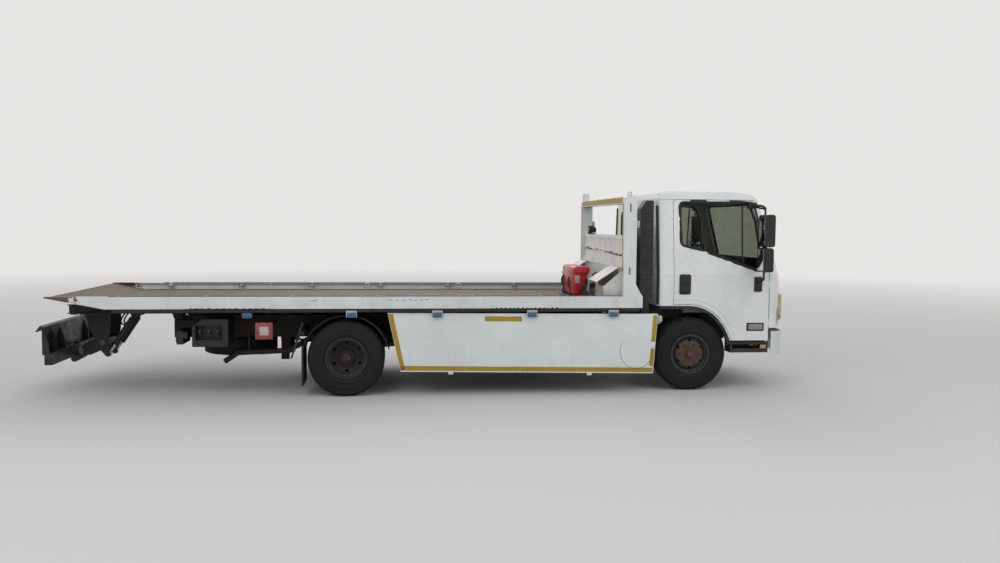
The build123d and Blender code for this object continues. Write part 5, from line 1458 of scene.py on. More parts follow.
@dataclass
class Headboard:
    """The tape, dented sheet, lamps and fittings on the bed's headboard."""

    half: float = BED_HALF
    post: float = 85.0
    rear: float = 2189.0
    depth: float = 137.0
    top: float = 2150.0
    panel_low: float = 1372.0
    panel_top: float = 1720.0
    lamp_y: float = 600.0

    def build(self) -> None:
        """Makes everything on the headboard."""
        inner = self.half - self.post
        tape = Shape()
        skin = (self.rear - 0.7, self.rear + 0.4)
        tape.box((skin[0], -inner + 2, self.top - 76), (skin[1], inner - 2, self.top - 18))
        for side in Side:
            tape.box((skin[0], side.value * (inner + 1), 1330),
                     (skin[1], side.value * (inner + 42), self.top - 80))
        tape.done("headboard_tape", "deck", TAPE, smooth=False)
        self.sheet_panel(inner)
        self.details()

    def wall_x(self, z: float) -> float:
        """Finds the rear face of the wall behind the sheet, which slopes below its crease.

        Args:
            z: the height.

        Returns:
            The wall's X.
        """
        return 2232 if z > 1500 else 2206 + 26 * (z - 1368) / 132

    def sheet_panel(self, inner: float) -> None:
        """Makes the dented sheet on the panel's rear face, whose upper part overlaps the lower.
        Black wires just under the crease and down beside one post are painted shadow.

        Args:
            inner: the posts' inner faces.
        """
        panel = Shape()
        bmesh.ops.create_grid(panel.bm, x_segments=60, y_segments=56, size=0.5)
        low, high = self.panel_low, self.panel_top - 3
        for vert in panel.bm.verts:
            y = vert.co.x * 2 * (inner - 6)
            z = low + (vert.co.y + 0.5) * (high - low)
            crease = 1530 + 20 * y / inner + 7 * math.sin(y / 95.0) + 5 * math.sin(y / 41.0 + 1.0)
            wave = 2.4 * math.sin(y / 210.0) * math.sin((z - low) / 95.0)
            wave += 1.6 * math.sin(y / 83.0 + z / 71.0)
            if z > crease:
                lift = 4 + 17 * ((high - z) / (high - crease)) ** 2
            else:
                lift = 3 + 9 * min(1.0, max(0.0, (crease - 12 - z) / (crease - low)))
            vert.co = Vector((self.wall_x(z) - max(1.2, lift + wave), y, z))
        edge = [e for e in panel.bm.edges if e.is_boundary]
        grown = bmesh.ops.extrude_edge_only(panel.bm, edges=edge)["geom"]
        for vert in (g for g in grown if isinstance(g, bmesh.types.BMVert)):
            vert.co.x = self.wall_x(vert.co.z) - 0.3
        panel.done("dented_sheet", "deck", LOCKER_WHITE)
        # Painted shadow: black wires just under the crease, where the upper sheet's lip overhangs,
        # and one down beside a post, stand for dark gaps.
        shade_lines = Shape()
        for y0, y1, z0, z1 in ((-inner + 60, -300, 1497, 1514), (640, 900, 1530, 1540)):
            middle = (2225, (y0 + y1) / 2, (z0 + z1) / 2 - 6)
            shade_lines.wire([(2224, y0, z0), middle, (2224, y1, z1)], 5, sides=1)
        shade_lines.wire([(2219, -inner + 26, 1560), (2219, -inner + 40, 1470),
                    (2216, -inner + 120, 1400)], 2.6, sides=1)
        shade_lines.done("sheet_tears", "deck", BLACK)

    def details(self) -> None:
        """Makes the studs, ring, slots, tabs and lamps."""
        studs = Shape()
        studs.bolts([(self.rear + 70, y, self.top - 12) for y in (-820, -410, 0, 410)],
                    (0, 0, 1), 13, 14)
        studs.done("beam_studs", "deck", GALVANISED, smooth=False)
        loop = Shape()
        loop.wire([(x, 40 - self.half, z) for x, z in ring(self.rear + 66, self.top + 20, 20, 10)],
                  5, closed=True, sides=2)
        loop.done("post_ring", "deck", GALVANISED)
        slots = Shape()
        for z0, z1 in ((1975, 2065), (1300, 1380)):
            slots.box((self.rear + 58, -self.half - 0.3, z0),
                      (self.rear + 74, -self.half + 1, z1), 0.3)
        slots.mirrored().done("post_slots", "deck", TAIL_RUST)
        tab = Shape()
        front = self.rear + self.depth
        tab.box((front - 1, -self.half + 12, 1805), (front + 34, -self.half + 70, 1880), 3)
        tab.mirrored().done("post_tabs", "deck", GALVANISED)
        place = (self.rear, self.lamp_y, self.panel_top + 50)
        glass = Shape()
        glass.lathe([(0.5, -22), (30, -18), (46, -6), (46, 0), (0.5, 0)], place, Axis.X, 32,
                    closed=False)
        glass.done("work_lamp_face", "deck", AMBER_LENS)
        cup = Shape()
        cup.lathe([(0.5, 84), (26, 82), (44, 66), (52, 40), (52, -14), (47, -16), (46, 0),
                   (0.5, 2)], place, Axis.X, 32, closed=False)
        cup.rod((self.rear + 34, self.lamp_y, self.panel_top - 4),
                (self.rear + 34, self.lamp_y, self.panel_top + 12), 22, 20)
        cup.done("work_lamp_cup", "deck", BLACK)
        lamp = Shape()
        lamp.box((self.rear + 4, 1000, self.top - 2), (self.rear + 86, 1078, self.top + 89), 12, 3)
        lamp.done("bracket_lamp", "deck", POST_WHITE)


@dataclass
class Winch:
    """The winch's rope, motor, cover and levers, and the lockers' fittings."""

    x: float = 1900.0
    z: float = 1152.0
    motor_x: float = 2096.0
    motor_z: float = 1104.0
    turns: int = 240
    steps_a_turn: int = 14
    lever_gap: float = 32.0

    def build(self) -> None:
        """Makes everything beside the winch."""
        rope = Shape()
        angles = [math.tau * k / self.steps_a_turn for k in range(self.turns)]
        rope.wire([(self.x + 82 * math.cos(a), -92 + 400 * k / (self.turns - 1),
                    self.z + 82 * math.sin(a)) for k, a in enumerate(angles)], 6.5, sides=1)
        rope.done("wound_rope", "winch_drum", ROPE)
        self.motor()
        shell = Shape()
        shell.plate([(1812, 1020), (1884, 1020), (1902, 1066), (1972, 1250), (2004, 1305),
                     (1994, 1338), (1962, 1350), (1836, 1350), (1806, 1338), (1798, 1300),
                     (1806, 1130)], Axis.Y, (-330, 334), 13)
        shell.plate([(1828, 1256), (1974, 1256), (1991, 1305), (1982, 1332), (1838, 1336),
                     (1812, 1316)], Axis.Y, (-336, -328), 4)
        shell.done("winch_cover_shell", "deck", COVER_RED, replaces=("winch_cover",))
        valve = Shape()
        valve.box((1990, -470, FLOOR_TOP + 1), (2100, -380, FLOOR_TOP + 120), 6)
        for k in range(3):
            shift = self.lever_gap * k
            valve.rod((2010 + shift, -425, FLOOR_TOP + 118), (2002 + shift, -440, FLOOR_TOP + 215),
                      5, 10)
            valve.ball((2002 + shift, -440, FLOOR_TOP + 220), 13)
        valve.done("winch_valve", "deck", CAST)
        patch = Shape()
        patch.box((1818, -332.5, 1155), (1876, -329.5, 1246), 0.6)
        patch.done("cover_patch", "deck", PALE_PATCH)
        self.locker_fittings()

    def motor(self) -> None:
        """Makes the motor with its cooling ribs, and the hand wheel above it."""
        motor = Shape()
        x, z = self.motor_x, self.motor_z
        motor.box((2030, -300, z - 48), (2060, -170, z + 48), 4)
        motor.rod((x, -150, z), (x, -300, z), 60, 32, edge=6)
        motor.rod((x, -290, z), (x, -346, z), 42, 24, edge=5)
        for k in range(5):
            motor.rod((x, -232 - 15 * k, z), (x, -238 - 15 * k, z), 64, 32)
        motor.bolts([(x + 50 * math.cos(a), -300, z + 50 * math.sin(a))
                     for a in (0.6, 2.5, 3.8, 5.6)], (0, -1, 0), 7, 6)
        hub_x, y, hub_z, radius = 2076, -300, 1236, 44
        motor.wire([(u, y, v) for u, v in ring(hub_x, hub_z, radius, 12)], 6, closed=True, sides=2)
        for a in (0.3, 2.4, 4.5):
            end = (hub_x + radius * math.cos(a), y, hub_z + radius * math.sin(a))
            motor.rod((hub_x, y, hub_z), end, 4.5, 10)
        motor.rod((hub_x, -306, hub_z), (hub_x, -170, hub_z), 14, 16, edge=3)
        motor.rod((hub_x, -190, hub_z), (x, -190, z), 18, 16)
        motor.done("winch_motor", "deck", LIFT_BLACK_AND_SHADE)

    def locker_fittings(self) -> None:
        """Makes the lockers' latches and the chains between them."""
        latch = Shape()
        for y in (700, 990):
            latch.box((1983, y - 24, 1085), (1990, y + 24, 1150), 3)
            latch.rod((1982, y, 1098), (1982, y, 1138), 6, 12)
        latch.box((1987, 650, 1015), (1990.2, 1040, 1028), 1)
        latch.mirrored().done("locker_latches", "deck", GALVANISED)
        dark = Shape()
        dark.box((2010, 655, FLOOR_TOP + 40), (2180, 1035, FLOOR_TOP + 110), 10)
        dark.mirrored().done("locker_chains", "deck", AXLE_RUST)


@dataclass
class CabDress:
    """Window seals, lamps, handles, wipers, steps and the other things on the cab."""

    half: float = 1000.0
    rear: float = 2620.0
    waist: float = 1294.0
    window: tuple[Spot, ...] = (
        (2881, 1612), (2868, 2088), (3630, 2088), (3700, 2015), (3748, 1850), (3775, 1600),
        (3785, 1328), (3070, 1581),
    )

    def build(self) -> None:
        """Makes everything on the cab."""
        self.walls = Skin("cab_shell", "front_panel", "roof_panel", "cab_glass", "headlamps",
                          "grille", "door_left", "door_right", "door_glass_left",
                          "door_glass_right", "front_bumper")
        for side in Side:
            self.door(side)
            self.side_lamps(side)
            self.corner(side)
        self.front_face()
        self.roof()
        self.back()

    def on_side(self, points: Iterable[Spot], side: Side,
                lift: float) -> list[tuple[float, float, float]]:
        """Lays points of an X and Z outline on the cab's side.

        Args:
            points: the points.
            side: the side.
            lift: how far they stand off it.

        Returns:
            The points in the drawing.
        """
        laid = []
        last = self.half - 50
        for x, z in points:
            y = abs(self.walls.side_y(x, z, side, last))
            if y < 820:
                y = last
            last = y
            laid.append((x, side.value * (y + lift), z))
        return laid

    def door(self, side: Side) -> None:
        """Makes one door's seals, handle, crease, mirror and drip rail.

        Args:
            side: the side.
        """
        s, body = side.value, f"door_{side.word}"
        seal = Shape()
        outline = self.on_side(along(self.window, 30, True, 46), side, 1.0)
        seal.wire(outline, 17, closed=True, sides=2)
        bar = along([(3590, 2078), (3580, 1420)], 40, False)
        seal.wire(self.on_side(bar, side, 2.0), 9, sides=2)
        seal.done(f"door_seal_{side.word}", body, SEAL)
        handle = Shape()
        y = abs(self.walls.side_y(2920, 1187, side, self.half))
        pocket = along([(2854, 1075), (2986, 1075), (2986, 1299), (2854, 1299)], 8, True, 26)
        handle.plate(pocket, Axis.Y, tuple(sorted((s * (y - 2), s * (y + 5)))), 2)
        handle.box((2862, s * (y + 4), 1100), (2978, s * (y + 17), 1176), 6, 3)
        handle.box((2872, s * (y + 4), 1188), (2968, s * (y + 9), 1284), 3, 3)
        handle.rod((2920, s * (y + 8), 1236), (2920, s * (y + 12), 1236), 15, 20)
        handle.done(f"door_handle_{side.word}", body, BLACK)
        crease = Shape()
        arch = [(2806, 1032), (2965, 1032), (3080, 1022), (3185, 990), (3285, 932), (3368, 856),
                (3436, 768), (3490, 672), (3526, 580)]
        crease.ribbon(self.on_side(along(arch, 40, False), side, -0.6), (0, s, 0), 34, 4.0)
        crease.done(f"door_crease_{side.word}", body, CAB_WHITE)
        gap = Shape()
        gap.wire([(3883, s * (self.half - 10), z) for z in (600, 1290)], 2.5, sides=1)
        gap.done(f"door_gap_seal_{side.word}", body, SEAL)
        self.mirror(side)
        rail = Shape()
        for line in (((2990, 2106), (3170, 2107)),
                     ((3440, 2107), (3560, 2105), (3690, 2092), (3730, 2050), (3768, 1900),
                      (3800, 1700))):
            laid = self.on_side(along(line, 45, False), side, 0.0)
            rail.ribbon(laid, (0, s, 0), 24, 15)
        rail.done(f"drip_rail_{side.word}", body, BLACK)

    def mirror(self, side: Side) -> None:
        """Makes the glass and the arms of one door's mirrors.

        Args:
            side: the side.
        """
        s, body = side.value, f"door_{side.word}"
        glass = Shape()
        for x, z0, z1 in ((3699, 1628, 1938), (3689, 1352, 1582)):
            glass.box((x - 1.5, s * (self.half + 128), z0), (x + 2, s * (self.half + 284), z1), 1.2)
        glass.done(f"mirror_glass_{side.word}", body, MIRROR)
        arms = Shape()
        arms.wire([(3757, s * 1150, 2022), (3752, s * 1120, 2052), (3720, s * 1020, 2062),
                   (3690, s * 930, 2060)], 13)
        arms.wire([(3757, s * 1150, 1260), (3757, s * 1110, 1228), (3757, s * 1012, 1214)], 13)
        arms.ball((3757, s * 1150, 1600), 24, 1.3)
        arms.box((3640, s * 908, 2030), (3742, s * 958, 2096), 10, 3)
        y = abs(self.walls.side_y(3756, 1190, side, self.half))
        arms.box((3711, s * (y - 2), 1108), (3801, s * (y + 15), 1272), 12, 3)
        arms.done(f"mirror_arms_{side.word}", body, BLACK)

    def side_lamps(self, side: Side) -> None:
        """Makes the marker lamp low on one door, and the step's reflector, ribs and mark.

        Args:
            side: the side.
        """
        s, door = side.value, f"door_{side.word}"
        y = abs(self.walls.side_y(3730, 714, side, self.half))
        case = Shape()
        case.box((3634, s * (y - 2), 669), (3834, s * (y + 6), 759), 5, 3)
        case.done(f"marker_case_{side.word}", door, BLACK)
        lens = Shape()
        lens.box((3652, s * (y + 4), 683), (3816, s * (y + 12), 745), 6, 3)
        lens.done(f"marker_lens_{side.word}", door, GREY_LENS)
        shine = Shape()
        shine.box((3800, s * 986, 470), (3862, s * 1003, 512), 3)
        shine.done(f"step_reflector_{side.word}", "cab", PALE_AMBER)
        tread = Shape()
        for y in range(850, 971, 24):
            tread.box((3480, s * y, 543), (3862, s * (y + 8), 549), 1.5)
        tread.done(f"step_ribs_{side.word}", "cab", BLACK)
        mark = Shape()
        mark.box((3735, s * 842, 478), (3858, s * 846, 509), 1.5)
        mark.done(f"step_mark_{side.word}", "cab", STEP_YELLOW)

    def corner(self, side: Side) -> None:
        """Makes the tall lens at one front corner. It ends above the bumper, clear of it
        when the cab tilts.

        Args:
            side: the side.
        """
        s = side.value
        lens = Shape()
        points = []
        foot_x, foot_z, top_z = 4048, 788, 1076
        for z in range(foot_z, top_z + 1, 32):
            x = foot_x - (z - foot_z) * 0.02
            y = abs(self.walls.side_y(x, z, side, 930))
            points.append((x, s * (y + 1.5), z))
        lens.ribbon(points, (0.7, s * 0.72, 0), 84, 12)
        lens.done(f"corner_lens_{side.word}", "cab", PALE_AMBER)

    def front_face(self) -> None:
        """Makes the windscreen seal, wipers, grille bar, lamps and plate."""
        skin = self.walls
        seal = Shape()
        low = self.waist + 48
        outline = along([(-872, low), (872, low), (795, 2084), (-795, 2084)], 60, True, 70)
        points = [(skin.front_x(y, z, 4000) + 1, y, z) for y, z in outline]
        seal.wire(points, 15, closed=True, sides=2)
        seal.done("windscreen_seal", "cab", SEAL)
        self.wipers()
        bar = Shape()
        x = skin.front_x(0, 1235, 4110)
        bar.box((x - 2, -590, 1206), (x + 5, 590, 1262), 4)
        bar.done("grille_bar", "cab", TRIM_BLACK)
        chrome = Shape()
        for side in Side:
            s = side.value
            for y, r in ((752, 62), (884, 50)):
                x = skin.front_x(s * y, 828, 4060)
                chrome.rod((x - 6, s * y, 828), (x + 4, s * y, 828), r, 32, r - 8)
        chrome.done("headlamp_bowls", "cab", MIRROR)
        plate = Shape()
        x = skin.front_x(0, 560, 4130)
        plate.box((x - 1, -260, 505), (x + 4, 260, 615), 1.5)
        plate.done("front_plate", "chassis", PALE_PATCH)
        fog = Shape()
        for y in (-700, 700):
            x = skin.front_x(y, 520, 4120)
            fog.rod((x - 3, y, 520), (x + 3, y, 520), 48, 28, edge=2)
        fog.done("fog_lamps", "chassis", CLEAR_LENS)

    def wipers(self) -> None:
        """Makes both wipers' arms and blades."""
        wipers = Shape()
        foot_z, tip_z = self.waist + 26, self.waist + 118
        for y0, y1 in ((-560, 120), (160, 800)):
            foot = (self.walls.front_x(y0, foot_z, 4080) + 14, y0, foot_z)
            tip = (self.walls.front_x(y1, tip_z, 4050) + 14, y1, tip_z)
            y, z = (y0 + y1) / 2, (foot_z + tip_z) / 2
            wipers.wire([foot, (self.walls.front_x(y, z, 4060) + 22, y, z), tip], 6, sides=2)
            wipers.rod((foot[0] - 16, *foot[1:]), (foot[0] + 5, *foot[1:]), 15, 16, edge=3)
            spots = [(y0 + 60 + (y1 - y0) * k / 6, tip_z - 36 + 3 * k) for k in range(7)]
            blade = [(self.walls.front_x(y, z, 4050) + 7, y, z) for y, z in spots if abs(y) < 850]
            wipers.wire(blade, 6, sides=2)
        wipers.done("wipers", "cab", BLACK)

    def roof(self) -> None:
        """Makes the roof's rivets and gutters."""
        rivets = Shape()
        spots = [(self.rear + 110 + 92 * k, y, 2212) for k in range(11) for y in (-700, 700)]
        rivets.bolts(spots, (0, 0, 1), 6, 4)
        rivets.done("roof_rivets", "cab", CAB_WHITE, smooth=False)
        gutter = Shape()
        for side in Side:
            s = side.value
            line = [(x, s * 907, 2131) for x in range(2640, 3801, 90)]
            gutter.ribbon(line, (0, s, 0.2), 18, 9)
        gutter.done("roof_gutters", "cab", CAB_WHITE)

    def back(self) -> None:
        """Makes the cab's rear window seal, edge seals and ribs."""
        x = self.rear - 1
        seal = Shape()
        outline = along([(-648, 1492), (648, 1492), (648, 1998), (-648, 1998)], 70, True, 80)
        seal.wire([(x, y, z) for y, z in outline], 14, closed=True, sides=2)
        seal.done("rear_window_seal", "cab", SEAL)
        edge = Shape()
        for side in Side:
            line = [(x + 8, side.value * (self.half - 34 - max(0, z - self.waist) * 0.113), z)
                    for z in range(970, 2110, 90)]
            edge.ribbon(line, (-1, 0, 0), 56, 15)
        edge.done("cab_rear_seals", "cab", SEAL)
        ribs = Shape()
        for z in range(1060, 1389, 82):
            ribs.box((x - 7, -820, z), (x + 2, 820, z + 22), 4)
        ribs.done("cab_rear_ribs", "cab", CAB_WHITE)


class Snorkel:
    """The ribs on the air intake behind the cab."""

    def build(self) -> None:
        """Makes the intake's ribs."""
        low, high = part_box("intake_snorkel")
        x0, x1 = low.x / MM + ORIGIN_X, high.x / MM + ORIGIN_X
        skin = Skin("intake_snorkel")
        ribs = Shape()
        for z in range(1240, 1961, 180):
            y = abs(skin.side_y((x0 + x1) / 2, z, Side.RIGHT, 900))
            if y >= 700:
                ribs.box((x0 + 12, -y - 6, z), (x1 - 12, -y + 20, z + 15), 4)
        ribs.done("intake_ribs", "chassis", TRIM_BLACK)


@dataclass
class Rear:
    """Lamps, levers, boards, flaps and bolts on the chassis behind the cab."""

    bar_x: float = -2500.0

    def build(self) -> None:
        """Makes everything on the rear of the chassis."""
        self.lights()
        self.controls()
        self.bolts()
        self.flaps()

    def lights(self) -> None:
        """Makes the rear lamps and their frames."""
        x = self.bar_x
        cells = ((930, 60, RED_LENS, "stop"), (800, 50, AMBER_LENS, "turn"),
                 (690, 45, CLEAR_LENS, "reverse"))
        for y, half, finish, word in cells:
            lens = Shape()
            lens.box((x - 10, y - half, 586), (x + 1, y + half, 674), 5, 3)
            for z in (600, 626, 652):
                lens.box((x - 12, y - half + 8, z), (x - 9, y + half - 8, z + 6), 1)
            lens.mirrored().done(f"rear_{word}_lamps", "chassis", finish)
        frames = Shape()
        frames.box((x - 6, 636, 574), (x + 1, 998, 686), 4)
        frames.mirrored().done("rear_lamp_frames", "chassis", BLACK)

    def controls(self) -> None:
        """Makes the control box's lever knobs and edge, and the blank board."""
        knobs = Shape()
        for x in (-2270, -2180, -2090):
            knobs.ball((x, -990, 700), 9)
            knobs.rod((x, -988, 698), (x, -940, 640), 5, 12, 7)
        knobs.done("lever_knobs", "chassis", KNOB_GREY)
        rim = Shape()
        rim.wire([(-2312, -1001, 602), (-2038, -1001, 602), (-2038, -1001, 758),
                  (-2312, -1001, 758)], 5, closed=True, sides=2, smooth=False)
        spots = [(x, -1000, z) for x in (-2330, -2000) for z in (560, 700)]
        rim.bolts(spots, (0, -1, 0), 8, 5)
        rim.done("control_box_edge", "chassis", LIFT_BLACK_AND_SHADE)
        board = Shape()
        board.box((-1694, -1063.5, 618), (-1518, -1061.6, 792), 0.6)
        board.done("board_face", "chassis", BOARD_RED)
        centre = Shape()
        centre.box((-1652, -1065, 660), (-1560, -1063, 750), 0.6)
        centre.done("board_centre", "chassis", PALE_PATCH)

    def bolts(self) -> None:
        """Makes the rows of bolts and rivets along the frame rails."""
        rows = Shape()
        for x in range(-2560, 3000, 160):
            rows.bolts([(x, 380, 700), (x, 380, 600)], (0, 1, 0), 9, 7)
        rows.mirrored().done("rail_bolts", "chassis", UNDER_RUST, smooth=False)
        beam = Shape()
        for x in range(-3700, 2100, 290):
            beam.bolts([(x, 400, 850), (x, 400, 900)], (0, 1, 0), 10, 7)
        beam.mirrored().done("beam_bolts", "tilt_frame", CHASSIS_BLACK, smooth=False)

    def flaps(self) -> None:
        """Makes the mudflaps' clamps and the mudguards' edges."""
        clamp = Shape()
        clamp.box((-1252, 650, 520), (-1246, 1050, 548), 2)
        clamp.bolts([(-1252, y, 534) for y in (700, 850, 1000)], (-1, 0, 0), 9, 6)
        clamp.mirrored().done("flap_clamps", "chassis", CAST, smooth=False)
        arch = Shape()
        for y in (604, 1081):
            arch.wire([(REAR_AXLE_X + 458 * math.cos(a), y, WHEEL_RADIUS + 458 * math.sin(a))
                       for a in (math.radians(d) for d in range(14, 167, 9))], 5, sides=2)
        arch.mirrored().done("guard_edges", "chassis", BLACK)


@dataclass
class Underlift:
    """Pin caps, bosses and end caps on the lifting gear."""

    pivot: Spot = (-3480.0, 488.0)
    bar_x: float = -3820.0
    half: float = 850.0

    def build(self) -> None:
        """Makes everything on the underlift."""
        caps = Shape()
        px, pz = self.pivot
        for s in (1, -1):
            caps.rod((px, s * 210, pz), (px, s * 222, pz), 34, 24, edge=3)
            caps.bolts([(px + 22, s * 222, pz), (px - 22, s * 222, pz)], (0, s, 0), 6, 5)
        caps.done("pivot_caps", "tilt_frame", CAST)
        bosses = Shape()
        x = self.bar_x - 40
        for y in range(-750, 751, 250):
            bosses.rod((x + 1, y, 396), (x - 8, y, 396), 24, 20, edge=3)
            bosses.bolts([(x - 8, y, 396)], (-1, 0, 0), 12, 7)
        bosses.done("crossbar_bosses", "crossbar", LIFT_BLACK_AND_SHADE)
        ends = Shape()
        for side in Side:
            ends.box((self.bar_x - 38, side.value * (self.half - 3), 339),
                     (self.bar_x + 38, side.value * (self.half - 0.4), 454), 2)
        ends.done("crossbar_caps", "crossbar", LIFT_BLACK_AND_SHADE)


@dataclass
class Interior:
    """Padded seats, dashboard, steering wheel and belts seen through the cab's glass."""

    seats: tuple[Spot, ...] = ((250.0, 750.0), (-750.0, 130.0))
    voxel: float = 0.006
    pressure: float = 4.0
    steps: int = 20
    most: float = 0.012

    def dash(self) -> None:
        """Makes the dashboard and the steering wheel, which stand for the plain ones."""
        board = Shape()
        board.plate([(3560, 1230), (3590, 1330), (3640, 1420), (3700, 1462), (3800, 1480),
                     (3872, 1468), (3890, 1400), (3950, 1290), (3950, 1000), (3780, 990),
                     (3640, 1010)], Axis.Y, (-790, 790), 14)
        board.box((3572, 320, 1420), (3720, 680, 1532), 30, 3)
        board.box((3900, -60, 812), (3975, 60, 1010), 4)
        for y in (-700, -560, -60, 60, 240, 730):
            board.box((3572, y - 48, 1330), (3640, y + 48, 1388), 8, 2)
            for z in range(1340, 1374, 11):
                board.box((3567, y - 40, z), (3574, y + 40, z + 4), 1)
        board.box((3568, -470, 1262), (3600, -180, 1322), 10, 2)
        board.done("dash_board", "cab", DASH_GREY, replaces=("dashboard",))
        wheel = Shape()
        hub, up, way = Vector((3505, 500, 1438)), (0.614, 0.789), Vector((-0.789, 0, 0.614))
        rim = [hub + Vector((v * up[0], u, v * up[1])) for u, v in ring(0, 0, 205, 20)]
        wheel.wire(rim, 14, closed=True, sides=2)
        for u, v in ((203, 0), (-203, 0), (0, -203)):
            wheel.rod(hub, hub + Vector((v * up[0], u, v * up[1])), 12, 12)
        wheel.rod(hub - 20 * way, hub + 20 * way, 46, 28, edge=6)
        wheel.rod(hub - 290 * way, hub - 10 * way, 26, 20)
        wheel.done("steering_wheel", "cab", BLACK)

    def pad(self, name: str, low: Point, high: Point, lean: float,
            centre: Point) -> bpy.types.Object:
        """Makes one padded piece, puffed by a cloth pass.

        No point moves by more than `most`, in metres.

        Args:
            name: its name.
            low, high: its corners before it is filled.
            lean: how far it leans back, in degrees.
            centre: the point that it leans about.

        Returns:
            The piece.
        """
        shape = Shape()
        shape.box(low, high, 26, 3)
        bmesh.ops.subdivide_edges(shape.bm, edges=shape.bm.edges[:], cuts=2, use_grid_fill=True)
        if lean:
            shape.turned(lean, Axis.Y, centre)
        piece = shape.done(name, "cab", SEAT_CLOTH)
        remesh = piece.modifiers.new("even", "REMESH")
        remesh.mode = "VOXEL"
        remesh.voxel_size = self.voxel
        self.bake(piece)
        start = [v.co.copy() for v in piece.data.vertices]
        cloth = piece.modifiers.new("fill", "CLOTH")
        cloth.settings.use_pressure = True
        cloth.settings.uniform_pressure_force = self.pressure
        cloth.settings.effector_weights.gravity = 0
        cloth.point_cache.frame_start, cloth.point_cache.frame_end = 1, self.steps
        scene = bpy.context.scene
        for step in range(1, self.steps + 1):
            scene.frame_set(step)
        self.bake(piece)
        scene.frame_set(1)
        for vert, old in zip(piece.data.vertices, start):
            move = vert.co - old
            if move.length > self.most:
                vert.co = old + move.normalized() * self.most
        even = piece.modifiers.new("even", "SUBSURF")
        even.levels = even.render_levels = 1
        for polygon in piece.data.polygons:
            polygon.use_smooth = True
        return piece

    def bake(self, piece: bpy.types.Object) -> None:
        """Applies a piece's modifiers to its mesh.

        Args:
            piece: the piece.
        """
        view = bpy.context.evaluated_depsgraph_get()
        mesh = bpy.data.meshes.new_from_object(piece.evaluated_get(view))
        piece.modifiers.clear()
        piece.data = mesh

    def build(self) -> None:
        """Makes the seats, the dashboard and the belts."""
        for number, (y0, y1) in enumerate(self.seats, 1):
            middle = (y0 + y1) / 2
            self.pad(f"seat_cushion_{number}", (2880, y0 + 8, 1302),
                                 (3318, y1 - 8, 1418), 0, (2860, middle, 1400))
            self.pad(f"seat_back_{number}", (2800, y0 + 22, 1430),
                                 (2880, y1 - 22, 1840), -7, (2840, 0, 1400))
            self.pad(f"head_rest_{number}", (2765, middle - 120, 1862),
                                 (2825, middle + 120, 1975), -7, (2800, 0, 1860))
        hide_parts("seats")
        self.dash()
        belts = Shape()
        for s in (-1, 1):
            belts.ribbon([(2720, s * 872, 1980), (2716, s * 900, 1600), (2722, s * 920, 1330)],
                         (1, 0, 0), 46, 2.5)
        belts.done("seat_belts", "cab", SEAL)


class Hoses:
    """The hoses that run from the bed and the frame to the lifting gear and the winch."""

    def hose(self, name: str, body: str, points: Sequence[Point], radius: float) -> None:
        """Makes one hose as a curve that rides on a body, and logs its length.

        Args:
            name: its name.
            body: the body that it rides on.
            points: the points of its line.
            radius: its radius.
        """
        laid = [tuple(metres(*point)) for point in points]
        curve = curve_along(name, laid, radius * MM, 4, 10)
        curve.materials.append(HOSE.material())
        piece = bpy.data.objects.new(name, curve)
        bpy.context.scene.collection.objects.link(piece)
        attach(piece, body)
        length = self.length(laid)
        LOG.info("%s: %.3f m", name, length)

    def length(self, points: Sequence[Point]) -> float:
        """Measures the smooth line through some control points.

        Args:
            points: the control points, in metres.

        Returns:
            Its length in metres.
        """
        mesh = mesh_of(curve_along("measure", points, 0.0, 0, 16))
        spots = [v.co.copy() for v in mesh.vertices]
        bpy.data.meshes.remove(mesh)
        return sum((b - a).length for a, b in zip(spots, spots[1:]))

    def build(self) -> None:
        """Makes every hose."""
        for side in Side:
            s = side.value
            self.hose(f"lift_hose_{side.word}", "tilt_frame",
                      [(-3120, s * 60, 838), (-3180, s * 56, 800), (-3250, s * 52, 700),
                       (-3300, s * 50, 660), (-3330, s * 60, 700), (-3290, s * 90, 782),
                       (-3230, s * 100, 838)], 9)
            self.hose(f"winch_hose_{side.word}", "deck",
                      [(2034, -290 + s * 18, 1130), (2060, -320 + s * 20, 1190),
                       (2110, -380 + s * 22, 1180), (2130, -450 + s * 22, 1090),
                       (2120, -480 + s * 22, 996)], 9)
        self.hose("frame_hose", "chassis",
                  [(2500, -500, 760), (2440, -520, 800), (2350, -500, 806), (2200, -440, 790),
                   (2080, -410, 760), (2040, -400, 720)], 11)


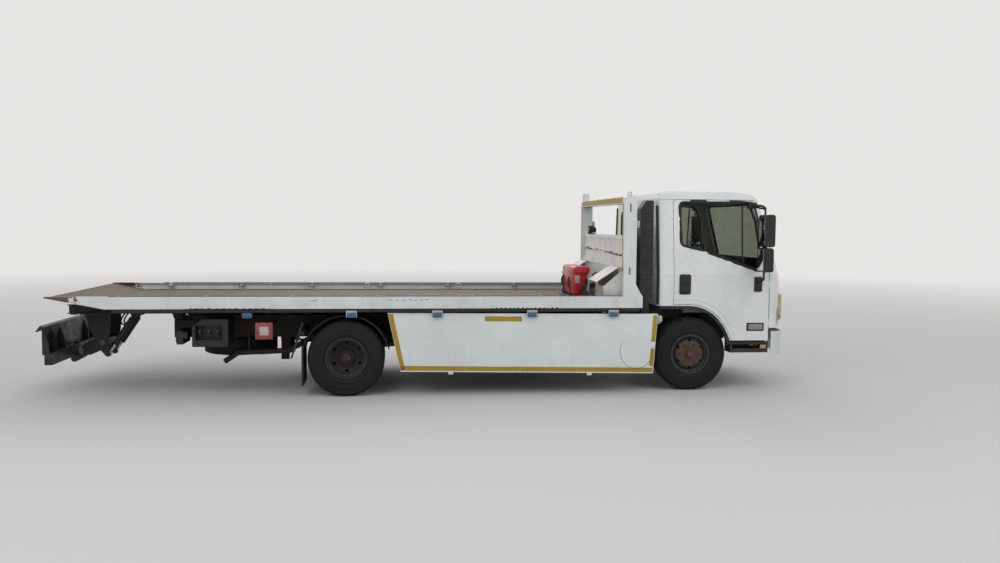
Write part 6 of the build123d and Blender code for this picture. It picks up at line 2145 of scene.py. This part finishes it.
@dataclass
class Studio:
    """The floor, the light and the camera."""

    lens: float = 32.294
    sensor: float = 36.0
    eye: tuple[float, float, float] = (-0.3526, -10.5537, 1.8305)
    yaw: float = 0.11701
    pitch: float = 0.06355
    roll: float = 0.00809
    pale: Colour = (0.80, 0.79, 0.77)
    ground: Colour = (0.62, 0.61, 0.59)
    ground_radius: float = 90.0
    sky: Colour = (0.93, 0.96, 1.0)
    sky_strength: float = 0.62
    fade: Spot = (6.0, 26.0)
    lamps: tuple[tuple[str, tuple[float, float, float], float, float], ...] = (
        ("key", (-5.0, -9.0, 8.0), 7.0, 340.0), ("fill", (7.0, -7.0, 6.0), 6.0, 170.0),
        ("back", (0.0, 9.0, 8.0), 7.0, 300.0),
    )
    aim: tuple[float, float, float] = (0.0, 0.0, 0.9)

    def camera(self) -> None:
        """Makes the camera at the photograph's place."""
        forward = Vector((math.sin(self.yaw), math.cos(self.yaw), 0))
        right = Vector((math.cos(self.yaw), -math.sin(self.yaw), 0))
        up = Vector((0, 0, 1))
        look = forward * math.cos(self.pitch) - up * math.sin(self.pitch)
        rise = up * math.cos(self.pitch) + forward * math.sin(self.pitch)
        side = right * math.cos(self.roll) + rise * math.sin(self.roll)
        top = rise * math.cos(self.roll) - right * math.sin(self.roll)
        data = bpy.data.cameras.new("camera")
        data.lens, data.sensor_width = self.lens, self.sensor
        data.clip_start, data.clip_end = 0.1, 200
        eye = bpy.data.objects.new("camera", data)
        turn = Matrix((side, top, -look)).transposed().to_4x4()
        eye.matrix_world = Matrix.Translation(self.eye) @ turn
        bpy.context.scene.collection.objects.link(eye)
        bpy.context.scene.camera = eye

    def floor(self) -> None:
        """Makes the pale floor, which fades into the surroundings."""
        bm = bmesh.new()
        bmesh.ops.create_circle(bm, cap_ends=True, segments=96, radius=self.ground_radius)
        mesh = bpy.data.meshes.new("floor")
        bm.to_mesh(mesh)
        bm.free()
        material = bpy.data.materials.new("floor")
        graph = Graph(material)
        graph.set("Base Color", self.ground)
        graph.set("Roughness", 0.85)
        far = graph.node("VectorMath", {0: graph.place}, operation="LENGTH").outputs["Value"]
        share = graph.sum("MULTIPLY", graph.span(far, *self.fade), graph.seen())
        glow = graph.node("Emission", {"Color": self.pale})
        graph.blend(share, graph.shader, glow, "Material Output")
        mesh.materials.append(material)
        ground = bpy.data.objects.new("floor", mesh)
        ground.location.z = -MM
        bpy.context.scene.collection.objects.link(ground)

    def light(self) -> None:
        """Makes the soft lights and the pale surroundings."""
        world = bpy.data.worlds.new("studio")
        bpy.context.scene.world = world
        graph = Graph(world)
        dim = graph.tree.nodes["Background"]
        dim.inputs["Color"].default_value = (*self.sky, 1)
        dim.inputs["Strength"].default_value = self.sky_strength
        backdrop = graph.node("Background", {"Color": self.pale})
        graph.blend(graph.seen(), dim, backdrop, "World Output")
        for name, place, size, power in self.lamps:
            data = bpy.data.lights.new(name, "AREA")
            data.size, data.energy = size, power
            lamp = bpy.data.objects.new(name, data)
            lamp.location = place
            lamp.rotation_mode = "QUATERNION"
            way = Vector(self.aim) - Vector(place)
            lamp.rotation_quaternion = way.to_track_quat("-Z", "Y")
            bpy.context.scene.collection.objects.link(lamp)

    def build(self) -> None:
        """Makes the whole studio."""
        bpy.context.scene.view_settings.view_transform = "Standard"
        self.floor()
        self.light()
        self.camera()


def main() -> None:
    """Builds every sub-assembly in order."""
    logging.basicConfig(level=logging.INFO, format="%(message)s")
    Studio().build()
    dress_nodes()
    for part in (Wheels(), Skirt(), Bed(), Headboard(), Winch(), CabDress(), Snorkel(), Rear(),
                 Underlift(), Interior(), Hoses()):
        LOG.info("== %s", type(part).__name__)
        part.build()


if __name__ == "__main__":
    main()
